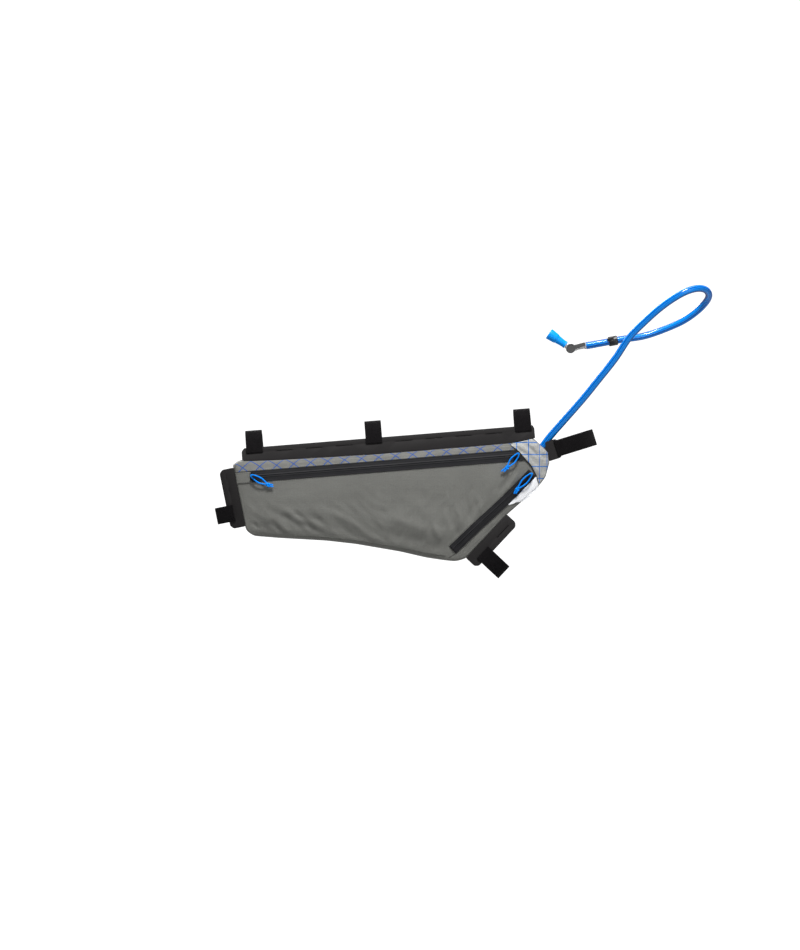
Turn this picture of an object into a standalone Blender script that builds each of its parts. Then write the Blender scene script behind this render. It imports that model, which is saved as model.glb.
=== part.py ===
"""Half-frame bicycle bag with a drink hose.

A hollow fabric pouch that hangs in the front triangle of a bicycle. Slotted flanges run along its
edges, and straps pass through them and round the tubes. The tubes themselves are not part of it.

Axes: +X forward along the bicycle, +Z up, -Y towards the side with the zips.
Origin: the axis of the top tube, at the middle strap.
"""
import math
from collections import namedtuple

import bmesh
import bpy
from mathutils import Matrix, Vector
from mathutils.geometry import interpolate_bezier

# Gap kept between neighbours
GAP = 0.0003

# The pouch
BODY_LENGTH = 0.475
BODY_DEPTH = 0.1995
REAR_REACH = 0.211
SEAM_DROP = 0.029
EDGE_HALF = 0.025
SIDE_BULGE = 0.0055
BULGE_FADE = 0.06
CORNER_RADIUS = 0.004
SHELL_WALL = 0.0016
TOP_CROWN = 0.0018
FOOT_CROWN = 0.0008
STATION_STEP = 0.0145
NEAR_ROWS = 13
FAR_ROWS = 5

# The tubes that the straps hold
TOP_TUBE_RADIUS = 0.018
TOP_TUBE_SLOPE = math.radians(4.59)
SEAT_TUBE_RADIUS = 0.017
SEAT_STANDOFF = 0.0202
DOWN_TUBE_RADIUS = 0.025
DOWN_STANDOFF = 0.0287
HEAD_TUBE_RADIUS = 0.025
HEAD_TUBE_TILT = math.radians(17.2)
HEAD_SLOT_AHEAD = 0.0115
HEAD_SLOT_RISE = 0.013
HEAD_SLOT_TO_AXIS = 0.033

# Flanges and their slots
FLANGE_THICKNESS = 0.0015
FLANGE_SEAT_ANGLE = math.radians(50.0)
FLANGE_CORNER = 0.005
SLOT_LENGTH = 0.0255
SLOT_HEIGHT = 0.0026
TOP_SLOT_DROP = 0.0124
TOP_FLANGE_LIP = 0.0078
TOP_SLOT_PITCH = 0.045
TOP_SLOTS_BEHIND = 4
TOP_SLOTS_AHEAD = 5
TOP_FLANGE_REAR = 0.0195
TOP_FLANGE_FRONT = 0.0165
SIDE_FLANGE_LENGTH = 0.09
SIDE_SLOT_SPACING = 0.0436
SIDE_SLOT_OFFSET = 0.0127
SIDE_FLANGE_LIP = 0.0093
HEAD_FLANGE_LENGTH = 0.0295
HEAD_FLANGE_LIP = 0.0045
FLANGE_CORNER_SHARE = 0.6

# Straps
STRAP_WIDTH = 0.025
STRAP_THICKNESS = 0.0016
STRAP_ARC_STEPS = 24
STRAP_OVERLAP_START = math.radians(28.0)
STRAP_OVERLAP_END = math.radians(62.0)

# Fabric panels laid over the near side
PANEL_THICKNESS = 0.001
PANEL_STANDOFF = 0.0005
PANEL_INSET = 0.0028
PANEL_STEP = 0.016

# Zips
ZIP_WIDTH = 0.0165
ZIP_THICKNESS = 0.001
ZIP_RIB_WIDTH = 0.0056
ZIP_RIB_RISE = 0.0008
UPPER_ZIP_DROP = 0.0483
UPPER_ZIP_REAR = 0.026
ZIP_END_CLEARANCE = 0.0012
ZIP_STATIONS = 19
LOWER_ZIP_WIDTH = 0.015
ZIP_SLOT_WIDTH = 0.008
ZIP_SLOT_END = 0.008
GARAGE_LENGTH = 0.018
GARAGE_HEIGHT = 0.0165
GARAGE_STEP = 0.001

# Sliders and their pulls
SLIDER_LENGTH = 0.0095
SLIDER_WIDTH = 0.0074
SLIDER_HEIGHT = 0.0022
BAIL_LENGTH = 0.0062
BAIL_WIDTH = 0.0022
BAIL_HEIGHT = 0.0052
EYE_RADIUS = 0.0015

# Shares of the slider's length and width at its top, and of the bail's size at its shoulder and top
SLIDER_TOP_LENGTH = 0.86
SLIDER_TOP_WIDTH = 0.8
BAIL_SHOULDER = 0.7
BAIL_TOP_LENGTH = 0.6
BAIL_TOP_WIDTH = 0.9
EYE_RISE = 0.45
PULL_CORD_RADIUS = 0.0011
KNOT_RADIUS = 0.0032

# Hose, clip and drinking valve
HOSE_DIAMETER = 0.0105
PORT_CLEARANCE = 0.0008
HOSE_STEP = 0.021
ROUTE_STEPS = 12
CLIP_WALL = 0.0014
CLIP_LENGTH = 0.014
CLIP_FOOT_LENGTH = 0.013
CLIP_FOOT_HEIGHT = 0.0095
CLIP_FOOT_DEPTH = 0.0045
ELBOW_RADIUS = 0.0047
ELBOW_BORE = 0.0026
ELBOW_LENGTH = 0.0233
ELBOW_NECK = 0.0085
ELBOW_TURN = math.radians(43.8)
HUB_RADIUS = 0.0068
HUB_THICKNESS = 0.0032
SPINDLE_RADIUS = 0.0021
SPINDLE_LENGTH = 0.0024
LEVER_LENGTH = 0.0225
LEVER_WIDTH = 0.0062
LEVER_TIP_WIDTH = 0.0052
LEVER_TIP_CHAMFER = 0.0009
LEVER_THICKNESS = 0.0026
LEVER_RISE = math.radians(17.0)
BITE_LENGTH = 0.031
BITE_BASE_RADIUS = 0.0057
BITE_MOUTH_RADIUS = 0.0085
BITE_RECESS = 0.003
BITE_WALL = 0.0014

# Shares of the bite valve's length at its shoulder's two ends and at its rim, and of its radii there
BITE_SHOULDER_START = 0.56
BITE_SHOULDER_END = 0.68
BITE_RIM_START = 0.97
BITE_BASE_FLARE = 1.08
BITE_SHOULDER_SIZE = 0.88
BITE_SIDES = 18

# Cross-lines of the pouch from the rear edge to the front: where each meets the top seam and the
# foot. "along" is a share of BODY_LENGTH from the rear, top_drop a share of SEAM_DROP and
# foot_drop a share of BODY_DEPTH, both down from the top tube's axis.
Section = namedtuple("Section", "top_along top_drop foot_along foot_drop")
SECTIONS = (
    Section(0.000, 1.020, 0.040, 0.625),
    Section(0.008, 0.910, 0.046, 0.653),
    Section(0.023, 0.790, 0.065, 0.686),
    Section(0.149, 0.897, 0.146, 0.717),
    Section(0.297, 0.948, 0.294, 0.765),
    Section(0.398, 0.983, 0.389, 0.809),
    Section(0.533, 1.000, 0.528, 0.892),
    Section(0.619, 1.000, 0.610, 0.953),
    Section(0.680, 1.000, 0.667, 0.984),
    Section(0.722, 1.000, 0.704, 1.000),
    Section(0.760, 1.000, 0.736, 0.986),
    Section(0.829, 0.990, 0.802, 0.833),
    Section(0.888, 0.976, 0.867, 0.678),
    Section(0.926, 0.900, 0.916, 0.585),
    Section(0.947, 0.834, 0.966, 0.486),
    Section(0.973, 1.245, 0.988, 0.422),
    Section(0.996, 1.620, 1.000, 0.317),
)
FIRST_DOWN_TUBE_SECTION = 10
LAST_DOWN_TUBE_SECTION = 12
FIRST_CHAMFER_SECTION = 14

# Folds of the near side, each a straight ridge (height above 0) or crease (below 0). "along" is a
# share of BODY_LENGTH, drops and width are shares of BODY_DEPTH, height a share of SIDE_BULGE.
Fold = namedtuple("Fold", "start_along start_drop end_along end_drop height width")
FOLDS = (
    Fold(0.150, 0.560, 0.305, 0.720, 0.22, 0.036),
    Fold(0.195, 0.530, 0.370, 0.745, -0.22, 0.034),
    Fold(0.250, 0.520, 0.430, 0.740, 0.16, 0.040),
    Fold(0.465, 0.690, 0.650, 0.865, -0.30, 0.040),
    Fold(0.505, 0.600, 0.660, 0.780, 0.20, 0.045),
    Fold(0.650, 0.520, 0.610, 0.760, -0.20, 0.036),
    Fold(0.735, 0.400, 0.660, 0.700, 0.22, 0.040),
)

# Middle line of the lower zip, as shares of BODY_LENGTH along and BODY_DEPTH down.
ZipPoint = namedtuple("ZipPoint", "along drop")
LOWER_ZIP_LINE = (
    ZipPoint(0.694, 0.914),
    ZipPoint(0.778, 0.738),
    ZipPoint(0.860, 0.588),
    ZipPoint(0.905, 0.464),
    ZipPoint(0.946, 0.382),
)

# Rows across a panel from its inner edge to its outer edge, in the same shares.
PanelRow = namedtuple("PanelRow", "inner_along inner_drop outer_along outer_drop")
CORNER_PANEL = (
    PanelRow(0.877, 0.158, 0.884, 0.148),
    PanelRow(0.893, 0.191, 0.915, 0.143),
    PanelRow(0.908, 0.228, 0.943, 0.140),
    PanelRow(0.925, 0.278, 0.969, 0.196),
    PanelRow(0.943, 0.332, 0.989, 0.250),
    PanelRow(0.957, 0.396, 0.993, 0.335),
    PanelRow(0.963, 0.443, 0.984, 0.412),
    PanelRow(0.966, 0.466, 0.970, 0.462),
)

# The white panel ahead of the lower zip: share of the zip's length, and the panel's width there as
# a share of the zip's width.
SidePanelRow = namedtuple("SidePanelRow", "share width")
WHITE_PANEL = (
    SidePanelRow(0.645, 0.10),
    SidePanelRow(0.700, 0.35),
    SidePanelRow(0.760, 0.80),
    SidePanelRow(0.840, 0.92),
    SidePanelRow(0.915, 0.90),
    SidePanelRow(0.945, 0.60),
)

# Where each zip slider stands, as a share of its zip, and where its knot hangs from there, ahead
# and down, in metres.
Pull = namedtuple("Pull", "name zip share knot_ahead knot_down tail_ahead tail_down")
PULLS = (
    Pull("upper_rear", "upper", 0.012, 0.0222, 0.0124, 0.0078, 0.0012),
    Pull("upper_front", "upper", 0.975, -0.0123, 0.0179, -0.0068, 0.0062),
    Pull("lower", "lower", 0.965, -0.0186, 0.0201, -0.0035, 0.0069),
)

# The hose's route from inside the port to the elbow, in metres.
HOSE_ROUTE = (
    (0.2455, -0.0120, -0.0295),
    (0.2535, -0.0132, -0.0185),
    (0.2655, -0.0150, -0.0020),
    (0.2882, -0.0240, 0.0240),
    (0.3147, -0.0340, 0.0545),
    (0.3373, -0.0420, 0.0830),
    (0.3626, -0.0490, 0.1151),
    (0.3818, -0.0550, 0.1451),
    (0.4064, -0.0610, 0.1699),
    (0.4266, -0.0660, 0.1881),
    (0.4469, -0.0690, 0.2027),
    (0.4664, -0.0680, 0.2136),
    (0.4852, -0.0600, 0.2186),
    (0.4979, -0.0460, 0.2165),
    (0.5038, -0.0290, 0.2093),
    (0.5015, -0.0130, 0.2019),
    (0.4955, -0.0010, 0.1938),
    (0.4836, 0.0070, 0.1832),
    (0.4667, 0.0120, 0.1719),
    (0.4460, 0.0130, 0.1627),
    (0.4229, 0.0120, 0.1539),
    (0.4032, 0.0090, 0.1481),
    (0.3798, 0.0050, 0.1452),
    (0.3530, 0.0020, 0.1403),
    (0.3414, 0.0000, 0.1381),
    (0.3203, 0.0000, 0.1345),
)
CLIP_ROUTE_POINT = 23

Frame = namedtuple("Frame", "centre along out")


def clear_scene():
    """Start from an empty file."""
    for item in list(bpy.data.objects):
        bpy.data.objects.remove(item, do_unlink=True)


def material(name, colour, roughness, metallic=0.0):
    """One Principled material."""
    made = bpy.data.materials.new(name)
    made.use_nodes = True
    shader = made.node_tree.nodes["Principled BSDF"]
    shader.inputs["Base Color"].default_value = (*colour, 1.0)
    shader.inputs["Roughness"].default_value = roughness
    shader.inputs["Metallic"].default_value = metallic
    return made


def add_object(name, mesh_edit, finish):
    """Turn an edited mesh into a named object with its material."""
    bmesh.ops.recalc_face_normals(mesh_edit, faces=mesh_edit.faces)
    mesh = bpy.data.meshes.new(name)
    mesh_edit.to_mesh(mesh)
    mesh_edit.free()
    made = bpy.data.objects.new(name, mesh)
    bpy.context.collection.objects.link(made)
    mesh.materials.append(finish)
    mesh.shade_smooth()
    mesh.set_sharp_from_angle(angle=math.radians(35.0))
    return made


def as_helper(helper):
    """Mark an object as a cutter or a joined shape that is not a piece by itself."""
    helper.hide_render = True
    helper.display_type = "WIRE"
    return helper


def combine(target, helper, operation):
    """Join a helper to an object, or cut it away."""
    as_helper(helper)
    step = target.modifiers.new(helper.name, "BOOLEAN")
    step.operation = operation
    step.object = helper
    step.solver = "EXACT"


def thicken(target, thickness, offset, even):
    """Give a surface its wall."""
    wall = target.modifiers.new("wall", "SOLIDIFY")
    wall.thickness = thickness
    wall.offset = offset
    wall.use_even_offset = even
    wall.use_quality_normals = True


# Outline of the pouch

def tube_height(x):
    """Height of the top tube's axis."""
    return math.tan(TOP_TUBE_SLOPE) * x


def body_point(along, drop):
    """Point in the side view from shares of the pouch's length and depth."""
    x = along * BODY_LENGTH - REAR_REACH
    return Vector((x, tube_height(x) - drop * BODY_DEPTH))


def top_corner(row):
    """Where a cross-line meets the top seam."""
    x = row.top_along * BODY_LENGTH - REAR_REACH
    return Vector((x, tube_height(x) - row.top_drop * SEAM_DROP))


def foot_corner(row):
    """Where a cross-line meets the foot seam."""
    return body_point(row.foot_along, row.foot_drop)


TOP_LINE = [top_corner(row) for row in SECTIONS]
FOOT_LINE = [foot_corner(row) for row in SECTIONS]
OUTLINE = TOP_LINE + FOOT_LINE[::-1]


def segment_distance(point, start, end):
    """Distance from a point to a segment, and the share along it."""
    run = end - start
    share = max(0.0, min(1.0, (point - start).dot(run) / run.length_squared))
    return (point - start - share * run).length, share


def outline_distance(point):
    """Distance from a point of the side panel to the pouch's outline."""
    ends = OUTLINE[1:] + OUTLINE[:1]
    return min(segment_distance(point, a, b)[0] for a, b in zip(OUTLINE, ends))


def line_fade(point, start, end):
    """0 on a straight edge of the panel, 1 beyond BULGE_FADE from it."""
    run = (end - start).normalized()
    away = abs(run.x * (point.y - start.y) - run.y * (point.x - start.x))
    return 1.0 - (1.0 - min(1.0, away / BULGE_FADE)) ** 2


def bulge(point):
    """How far the side panel swells out of its seams."""
    edges = (
        (TOP_LINE[0], FOOT_LINE[0]),
        (TOP_LINE[3], TOP_LINE[FIRST_DOWN_TUBE_SECTION]),
        (FOOT_LINE[3], FOOT_LINE[FIRST_DOWN_TUBE_SECTION - 1]),
        (FOOT_LINE[FIRST_DOWN_TUBE_SECTION], FOOT_LINE[LAST_DOWN_TUBE_SECTION]),
        (FOOT_LINE[-1], FOOT_LINE[-3]),
    )
    share = 1.0
    for start, end in edges:
        share *= line_fade(point, start, end)
    return SIDE_BULGE * share


def fold_height(point):
    """Sum of the ridges and creases at a point of the near panel."""
    total = 0.0
    for fold in FOLDS:
        start = body_point(fold.start_along, fold.start_drop)
        end = body_point(fold.end_along, fold.end_drop)
        away, share = segment_distance(point, start, end)
        reach = away / (fold.width * BODY_DEPTH)
        ends = math.sin(math.pi * share) ** 0.7 if 0.0 < share < 1.0 else 0.0
        total += fold.height * SIDE_BULGE * ends * math.exp(-reach * reach)
    return total


def half_thickness(point):
    """Half the pouch's thickness at a point of the side view, without folds."""
    inside = CORNER_RADIUS - min(outline_distance(point), CORNER_RADIUS)
    rounding = CORNER_RADIUS - math.sqrt(CORNER_RADIUS ** 2 - inside ** 2)
    return EDGE_HALF - rounding + bulge(point)


def near_side(point):
    """Y of the near panel."""
    return -half_thickness(point) - fold_height(point)


# The pouch itself

def spread(start, end, count):
    """Evenly spaced shares from start to end, both included."""
    return [start + (end - start) * i / (count - 1) for i in range(count)]


def section_rows(length, count):
    """Distances up a cross-line: the rounded corners, then even rows between them."""
    corner = [0.0, 0.3 * CORNER_RADIUS, CORNER_RADIUS]
    middle = spread(CORNER_RADIUS, length - CORNER_RADIUS, count)[1:-1]
    return corner + middle + [length - d for d in reversed(corner)]


def stations():
    """Cross-lines of the pouch, close enough together for its curves."""
    lines = []
    for i in range(len(SECTIONS) - 1):
        span = max((TOP_LINE[i + 1] - TOP_LINE[i]).length, (FOOT_LINE[i + 1] - FOOT_LINE[i]).length)
        count = max(1, round(span / STATION_STEP))
        for k in range(count):
            share = k / count
            top = TOP_LINE[i].lerp(TOP_LINE[i + 1], share)
            foot = FOOT_LINE[i].lerp(FOOT_LINE[i + 1], share)
            lines.append((top, foot))
    lines.append((TOP_LINE[-1], FOOT_LINE[-1]))
    return lines


def section_loop(top, foot):
    """Points round one cross-section: near side up, over the top, far side down, under the foot."""
    rise = top - foot
    length = rise.length
    up = rise / length
    loop = []
    for distance in section_rows(length, NEAR_ROWS):
        spot = foot + up * distance
        loop.append(Vector((spot.x, near_side(spot), spot.y)))
    crown = top + up * TOP_CROWN
    loop.append(Vector((crown.x, 0.0, crown.y)))
    for distance in reversed(section_rows(length, FAR_ROWS)):
        spot = foot + up * distance
        loop.append(Vector((spot.x, half_thickness(spot), spot.y)))
    hem = foot - up * FOOT_CROWN
    loop.append(Vector((hem.x, 0.0, hem.y)))
    return loop


def loft(mesh_edit, loops):
    """Skin a row of equal loops and close both ends."""
    rings = [[mesh_edit.verts.new(point) for point in loop] for loop in loops]
    count = len(rings[0])
    for ring, following in zip(rings, rings[1:]):
        for i in range(count):
            k = (i + 1) % count
            mesh_edit.faces.new((ring[i], ring[k], following[k], following[i]))
    mesh_edit.faces.new(rings[0])
    mesh_edit.faces.new(rings[-1])


def strip_prism(name, line, width, near, far):
    """A closed prism along a line in the side view, from Y near to Y far."""
    edit = bmesh.new()
    loops = []
    for i, point in enumerate(line):
        side = line_normal(line, i) * (width / 2.0)
        low, high = point - side, point + side
        loops.append([
            Vector((low.x, near, low.y)),
            Vector((high.x, near, high.y)),
            Vector((high.x, far, high.y)),
            Vector((low.x, far, low.y)),
        ])
    loft(edit, loops)
    return add_object(name, edit, CUTTER)


def line_normal(line, i):
    """Unit vector square to a line in the side view, at one of its points."""
    before = line[max(i - 1, 0)]
    after = line[min(i + 1, len(line) - 1)]
    run = (after - before).normalized()
    return Vector((-run.y, run.x))


def shorten(line, amount):
    """A line with its ends drawn in."""
    start = line[0] + (line[1] - line[0]).normalized() * amount
    end = line[-1] + (line[-2] - line[-1]).normalized() * amount
    return [start] + line[1:-1] + [end]


def zip_end(drop):
    """X where the upper zip stops short of the corner panel's rear edge, at a drop below the tube's axis."""
    for row, following in zip(CORNER_PANEL, CORNER_PANEL[1:]):
        first, last = row.inner_drop * BODY_DEPTH, following.inner_drop * BODY_DEPTH
        if drop <= last:
            share = (drop - first) / (last - first)
            along = row.inner_along + (following.inner_along - row.inner_along) * share
            return along * BODY_LENGTH - REAR_REACH - ZIP_END_CLEARANCE
    return CORNER_PANEL[-1].inner_along * BODY_LENGTH - REAR_REACH - ZIP_END_CLEARANCE


def upper_zip_line():
    """Middle line of the upper zip, parallel to the top tube."""
    line = []
    for x in spread(UPPER_ZIP_REAR - REAR_REACH, zip_end(UPPER_ZIP_DROP), ZIP_STATIONS):
        line.append(Vector((x, tube_height(x) - UPPER_ZIP_DROP)))
    return line


def lower_zip_line():
    """Middle line of the lower zip, with points between the chosen ones."""
    chosen = [body_point(row.along, row.drop) for row in LOWER_ZIP_LINE]
    line = [chosen[0]]
    for start, end in zip(chosen, chosen[1:]):
        line.append(start.lerp(end, 0.5))
        line.append(end)
    return line


def tube_between(name, start, end, radius, finish, sides=24):
    """A plain round bar between two points."""
    edit = bmesh.new()
    axis = end - start
    turn = Vector((0.0, 0.0, 1.0)).rotation_difference(axis).to_matrix().to_4x4()
    place = Matrix.Translation((start + end) / 2.0) @ turn
    bmesh.ops.create_cone(
        edit, cap_ends=True, segments=sides, radius1=radius, radius2=radius,
        depth=axis.length, matrix=place,
    )
    return add_object(name, edit, finish)


def build_shell():
    """The hollow pouch with its zip slots and the hose port."""
    edit = bmesh.new()
    loft(edit, [section_loop(top, foot) for top, foot in stations()])
    shell = add_object("bag_shell", edit, SAGE_FABRIC)
    thicken(shell, SHELL_WALL, -1.0, True)
    through = -EDGE_HALF - 4.0 * SIDE_BULGE
    inside = -EDGE_HALF / 2.0
    for name, line in (("upper_slot", upper_zip_line()), ("lower_slot", lower_zip_line())):
        cutter = strip_prism(name, shorten(line, ZIP_SLOT_END), ZIP_SLOT_WIDTH, through, inside)
        combine(shell, cutter, "DIFFERENCE")
    start, end = Vector(HOSE_ROUTE[0]), Vector(HOSE_ROUTE[2])
    run = (end - start).normalized()
    port = tube_between(
        "hose_port", start + run * SHELL_WALL, end, HOSE_DIAMETER / 2.0 + PORT_CLEARANCE, CUTTER
    )
    combine(shell, port, "DIFFERENCE")


# Panels and zips laid over the near side

def outer_height(point, lift):
    """Y at a given lift off the near panel."""
    return near_side(point) - PANEL_STANDOFF - lift


def laid_strip(name, rows, lifts, thickness, finish):
    """A fabric strip on the near side. Each row holds points across it, and lifts their rise."""
    edit = bmesh.new()
    inner = []
    outer = []
    for row in rows:
        inner.append([edit.verts.new((p.x, outer_height(p, 0.0), p.y)) for p in row])
        outer.append([
            edit.verts.new((p.x, outer_height(p, thickness + lift), p.y))
            for p, lift in zip(row, lifts)
        ])
    width = len(lifts)
    for i in range(len(rows) - 1):
        for k in range(width - 1):
            edit.faces.new((inner[i][k], inner[i][k + 1], inner[i + 1][k + 1], inner[i + 1][k]))
            edit.faces.new((outer[i][k], outer[i + 1][k], outer[i + 1][k + 1], outer[i][k + 1]))
        for k in (0, width - 1):
            edit.faces.new((inner[i][k], outer[i][k], outer[i + 1][k], inner[i + 1][k]))
    for i in (0, len(rows) - 1):
        for k in range(width - 1):
            edit.faces.new((inner[i][k], inner[i][k + 1], outer[i][k + 1], outer[i][k]))
    return add_object(name, edit, finish)


def slide_to_panel(point):
    """A point of the upper zip's front end, moved along the zip to the corner panel's slanted edge."""
    drop = tube_height(point.x) - point.y
    x = zip_end(drop)
    return Vector((x, tube_height(x) - drop))


def zip_strip(name, line, width, slanted):
    """A zip: flat tape with a raised rib along its middle, and a square or slanted front end."""
    across = (-0.5, -0.5 * ZIP_RIB_WIDTH / width, 0.0, 0.5 * ZIP_RIB_WIDTH / width, 0.5)
    lifts = (0.0, 0.0, ZIP_RIB_RISE, 0.0, 0.0)
    rows = []
    for i, point in enumerate(line):
        side = line_normal(line, i) * width
        rows.append([point + side * share for share in across])
    if slanted:
        rows[-1] = [slide_to_panel(point) for point in rows[-1]]
    return laid_strip(name, rows, lifts, ZIP_THICKNESS, ZIP_TAPE)


def top_seam_height(x):
    """Height of the top seam in the side view."""
    for start, end in zip(TOP_LINE, TOP_LINE[1:]):
        if start.x <= x <= end.x:
            return start.lerp(end, (x - start.x) / (end.x - start.x)).y
    return TOP_LINE[0].y if x < TOP_LINE[0].x else TOP_LINE[-1].y


def build_top_band():
    """The pale band between the top seam and the upper zip."""
    lowest_drop = UPPER_ZIP_DROP - ZIP_WIDTH / 2.0 - GAP
    start = UPPER_ZIP_REAR - REAR_REACH - GARAGE_LENGTH
    panel_edge = body_point(CORNER_PANEL[0].inner_along, CORNER_PANEL[0].inner_drop)
    rows = []
    for x in spread(start, panel_edge.x - 2.0 * GAP, round((panel_edge.x - start) / PANEL_STEP)):
        low = Vector((x, tube_height(x) - lowest_drop))
        high = Vector((x, top_seam_height(x) - PANEL_INSET))
        rows.append([low, low.lerp(high, 0.5), high])
    laid_strip("top_band", rows, (0.0, 0.0, 0.0), PANEL_THICKNESS, BAND_FABRIC)


def off_the_edge(point, inward):
    """A panel's corner, drawn in until it lies clear of the pouch's rounded edge."""
    while outline_distance(point) < PANEL_INSET:
        point = point.lerp(inward, 0.05)
    return point


def build_side_panel(name, table, finish):
    """A panel from a table of rows across it."""
    centre = sum((body_point(row.inner_along, row.inner_drop) for row in table), Vector((0.0, 0.0)))
    centre /= len(table)
    rows = []
    for row in table:
        inner = off_the_edge(body_point(row.inner_along, row.inner_drop), centre)
        outer = off_the_edge(body_point(row.outer_along, row.outer_drop), centre)
        rows.append([inner, inner.lerp(outer, 1.0 / 3.0), inner.lerp(outer, 2.0 / 3.0), outer])
    laid_strip(name, rows, (0.0, 0.0, 0.0, 0.0), PANEL_THICKNESS, finish)


def build_white_panel():
    """The panel between the lower zip and the pouch's front edge."""
    line = lower_zip_line()
    rows = []
    for row in WHITE_PANEL:
        spot, run = point_on_line(line, row.share)
        ahead = Vector((run.y, -run.x))
        inner = spot + ahead * (LOWER_ZIP_WIDTH / 2.0 + 2.0 * GAP)
        outer = off_the_edge(inner + ahead * LOWER_ZIP_WIDTH * row.width, inner)
        rows.append([inner, inner.lerp(outer, 1.0 / 3.0), inner.lerp(outer, 2.0 / 3.0), outer])
    laid_strip("white_panel", rows, (0.0, 0.0, 0.0, 0.0), PANEL_THICKNESS, WHITE_FABRIC)


def build_garage():
    """The patch that covers the rear end of the upper zip."""
    line = upper_zip_line()
    run = (line[1] - line[0]).normalized()
    up = Vector((-run.y, run.x))
    top = ZIP_WIDTH / 2.0 - GARAGE_STEP
    rows = []
    for behind in spread(GARAGE_LENGTH, 2.0 * GAP, 3):
        spot = line[0] - run * behind
        rows.append([spot + up * rise for rise in spread(top - GARAGE_HEIGHT, top, 3)])
    laid_strip("zip_garage", rows, (0.0, 0.0, 0.0), PANEL_THICKNESS, SAGE_FABRIC)


# Sliders and pulls

def point_on_line(line, share):
    """Point and direction at a share of a line's length."""
    lengths = [(b - a).length for a, b in zip(line, line[1:])]
    left = share * sum(lengths)
    for start, end, length in zip(line, line[1:], lengths):
        if left <= length:
            return start.lerp(end, left / length), (end - start).normalized()
        left -= length
    return line[-1], (line[-1] - line[-2]).normalized()


def build_slider(pull, spot, run):
    """One slider: a tapered body, and a bail turned towards the knot with an eye across it."""
    seat = outer_height(spot, ZIP_THICKNESS + ZIP_RIB_RISE + GAP)
    hang = Vector((pull.knot_ahead, -pull.knot_down)).normalized()
    if hang.dot(run) < 0.0:
        hang = -hang
    body_turn = Vector((run.x, 0.0, run.y)), Vector((-run.y, 0.0, run.x))
    bail_turn = Vector((hang.x, 0.0, hang.y)), Vector((-hang.y, 0.0, hang.x))
    out = Vector((0.0, -1.0, 0.0))
    base = Vector((spot.x, seat, spot.y))
    half, side = SLIDER_LENGTH / 2.0, SLIDER_WIDTH / 2.0
    bail, bail_side = BAIL_LENGTH / 2.0, BAIL_WIDTH / 2.0
    levels = (
        (0.0, half, side, body_turn),
        (SLIDER_HEIGHT, half * SLIDER_TOP_LENGTH, side * SLIDER_TOP_WIDTH, body_turn),
        (SLIDER_HEIGHT, bail, bail_side, bail_turn),
        (SLIDER_HEIGHT + BAIL_HEIGHT * BAIL_SHOULDER, bail, bail_side, bail_turn),
        (SLIDER_HEIGHT + BAIL_HEIGHT, bail * BAIL_TOP_LENGTH, bail_side * BAIL_TOP_WIDTH, bail_turn),
    )
    edit = bmesh.new()
    loops = []
    for height, length, width, (along, across) in levels:
        middle = base + out * height
        loops.append([
            middle - along * length - across * width,
            middle + along * length - across * width,
            middle + along * length + across * width,
            middle - along * length + across * width,
        ])
    loft(edit, loops)
    slider = add_object(f"{pull.name}_slider", edit, SLIDER_METAL)
    eye = base + out * (SLIDER_HEIGHT + BAIL_HEIGHT * EYE_RISE)
    across = bail_turn[1]
    reach = across * SLIDER_WIDTH
    cutter = tube_between(f"eye_{pull.name}", eye - reach, eye + reach, EYE_RADIUS, CUTTER, 12)
    combine(slider, cutter, "DIFFERENCE")
    return eye, across


def cord_curve(name, points, radius, finish, bevel_resolution):
    """A round cord through points, as a curve with closed ends."""
    curve = bpy.data.curves.new(name, "CURVE")
    curve.dimensions = "3D"
    curve.bevel_depth = radius
    curve.bevel_resolution = bevel_resolution
    curve.use_fill_caps = True
    spline = curve.splines.new("POLY")
    spline.points.add(len(points) - 1)
    for target, point in zip(spline.points, points):
        target.co = (*point, 1.0)
    curve.materials.append(finish)
    made = bpy.data.objects.new(name, curve)
    bpy.context.collection.objects.link(made)
    return made


def bar_mesh(name, points, radius, finish, sides=6):
    """A round cord through points, as a closed mesh."""
    edit = bmesh.new()
    loops = []
    side = None
    for i, point in enumerate(points):
        before = points[max(i - 1, 0)]
        after = points[min(i + 1, len(points) - 1)]
        run = (after - before).normalized()
        side = run.orthogonal().normalized() if side is None else (side - run * side.dot(run)).normalized()
        up = run.cross(side)
        loops.append([
            point + (side * math.cos(turn) + up * math.sin(turn)) * radius
            for turn in (2.0 * math.pi * k / sides for k in range(sides))
        ])
    loft(edit, loops)
    return add_object(name, edit, finish)


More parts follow.
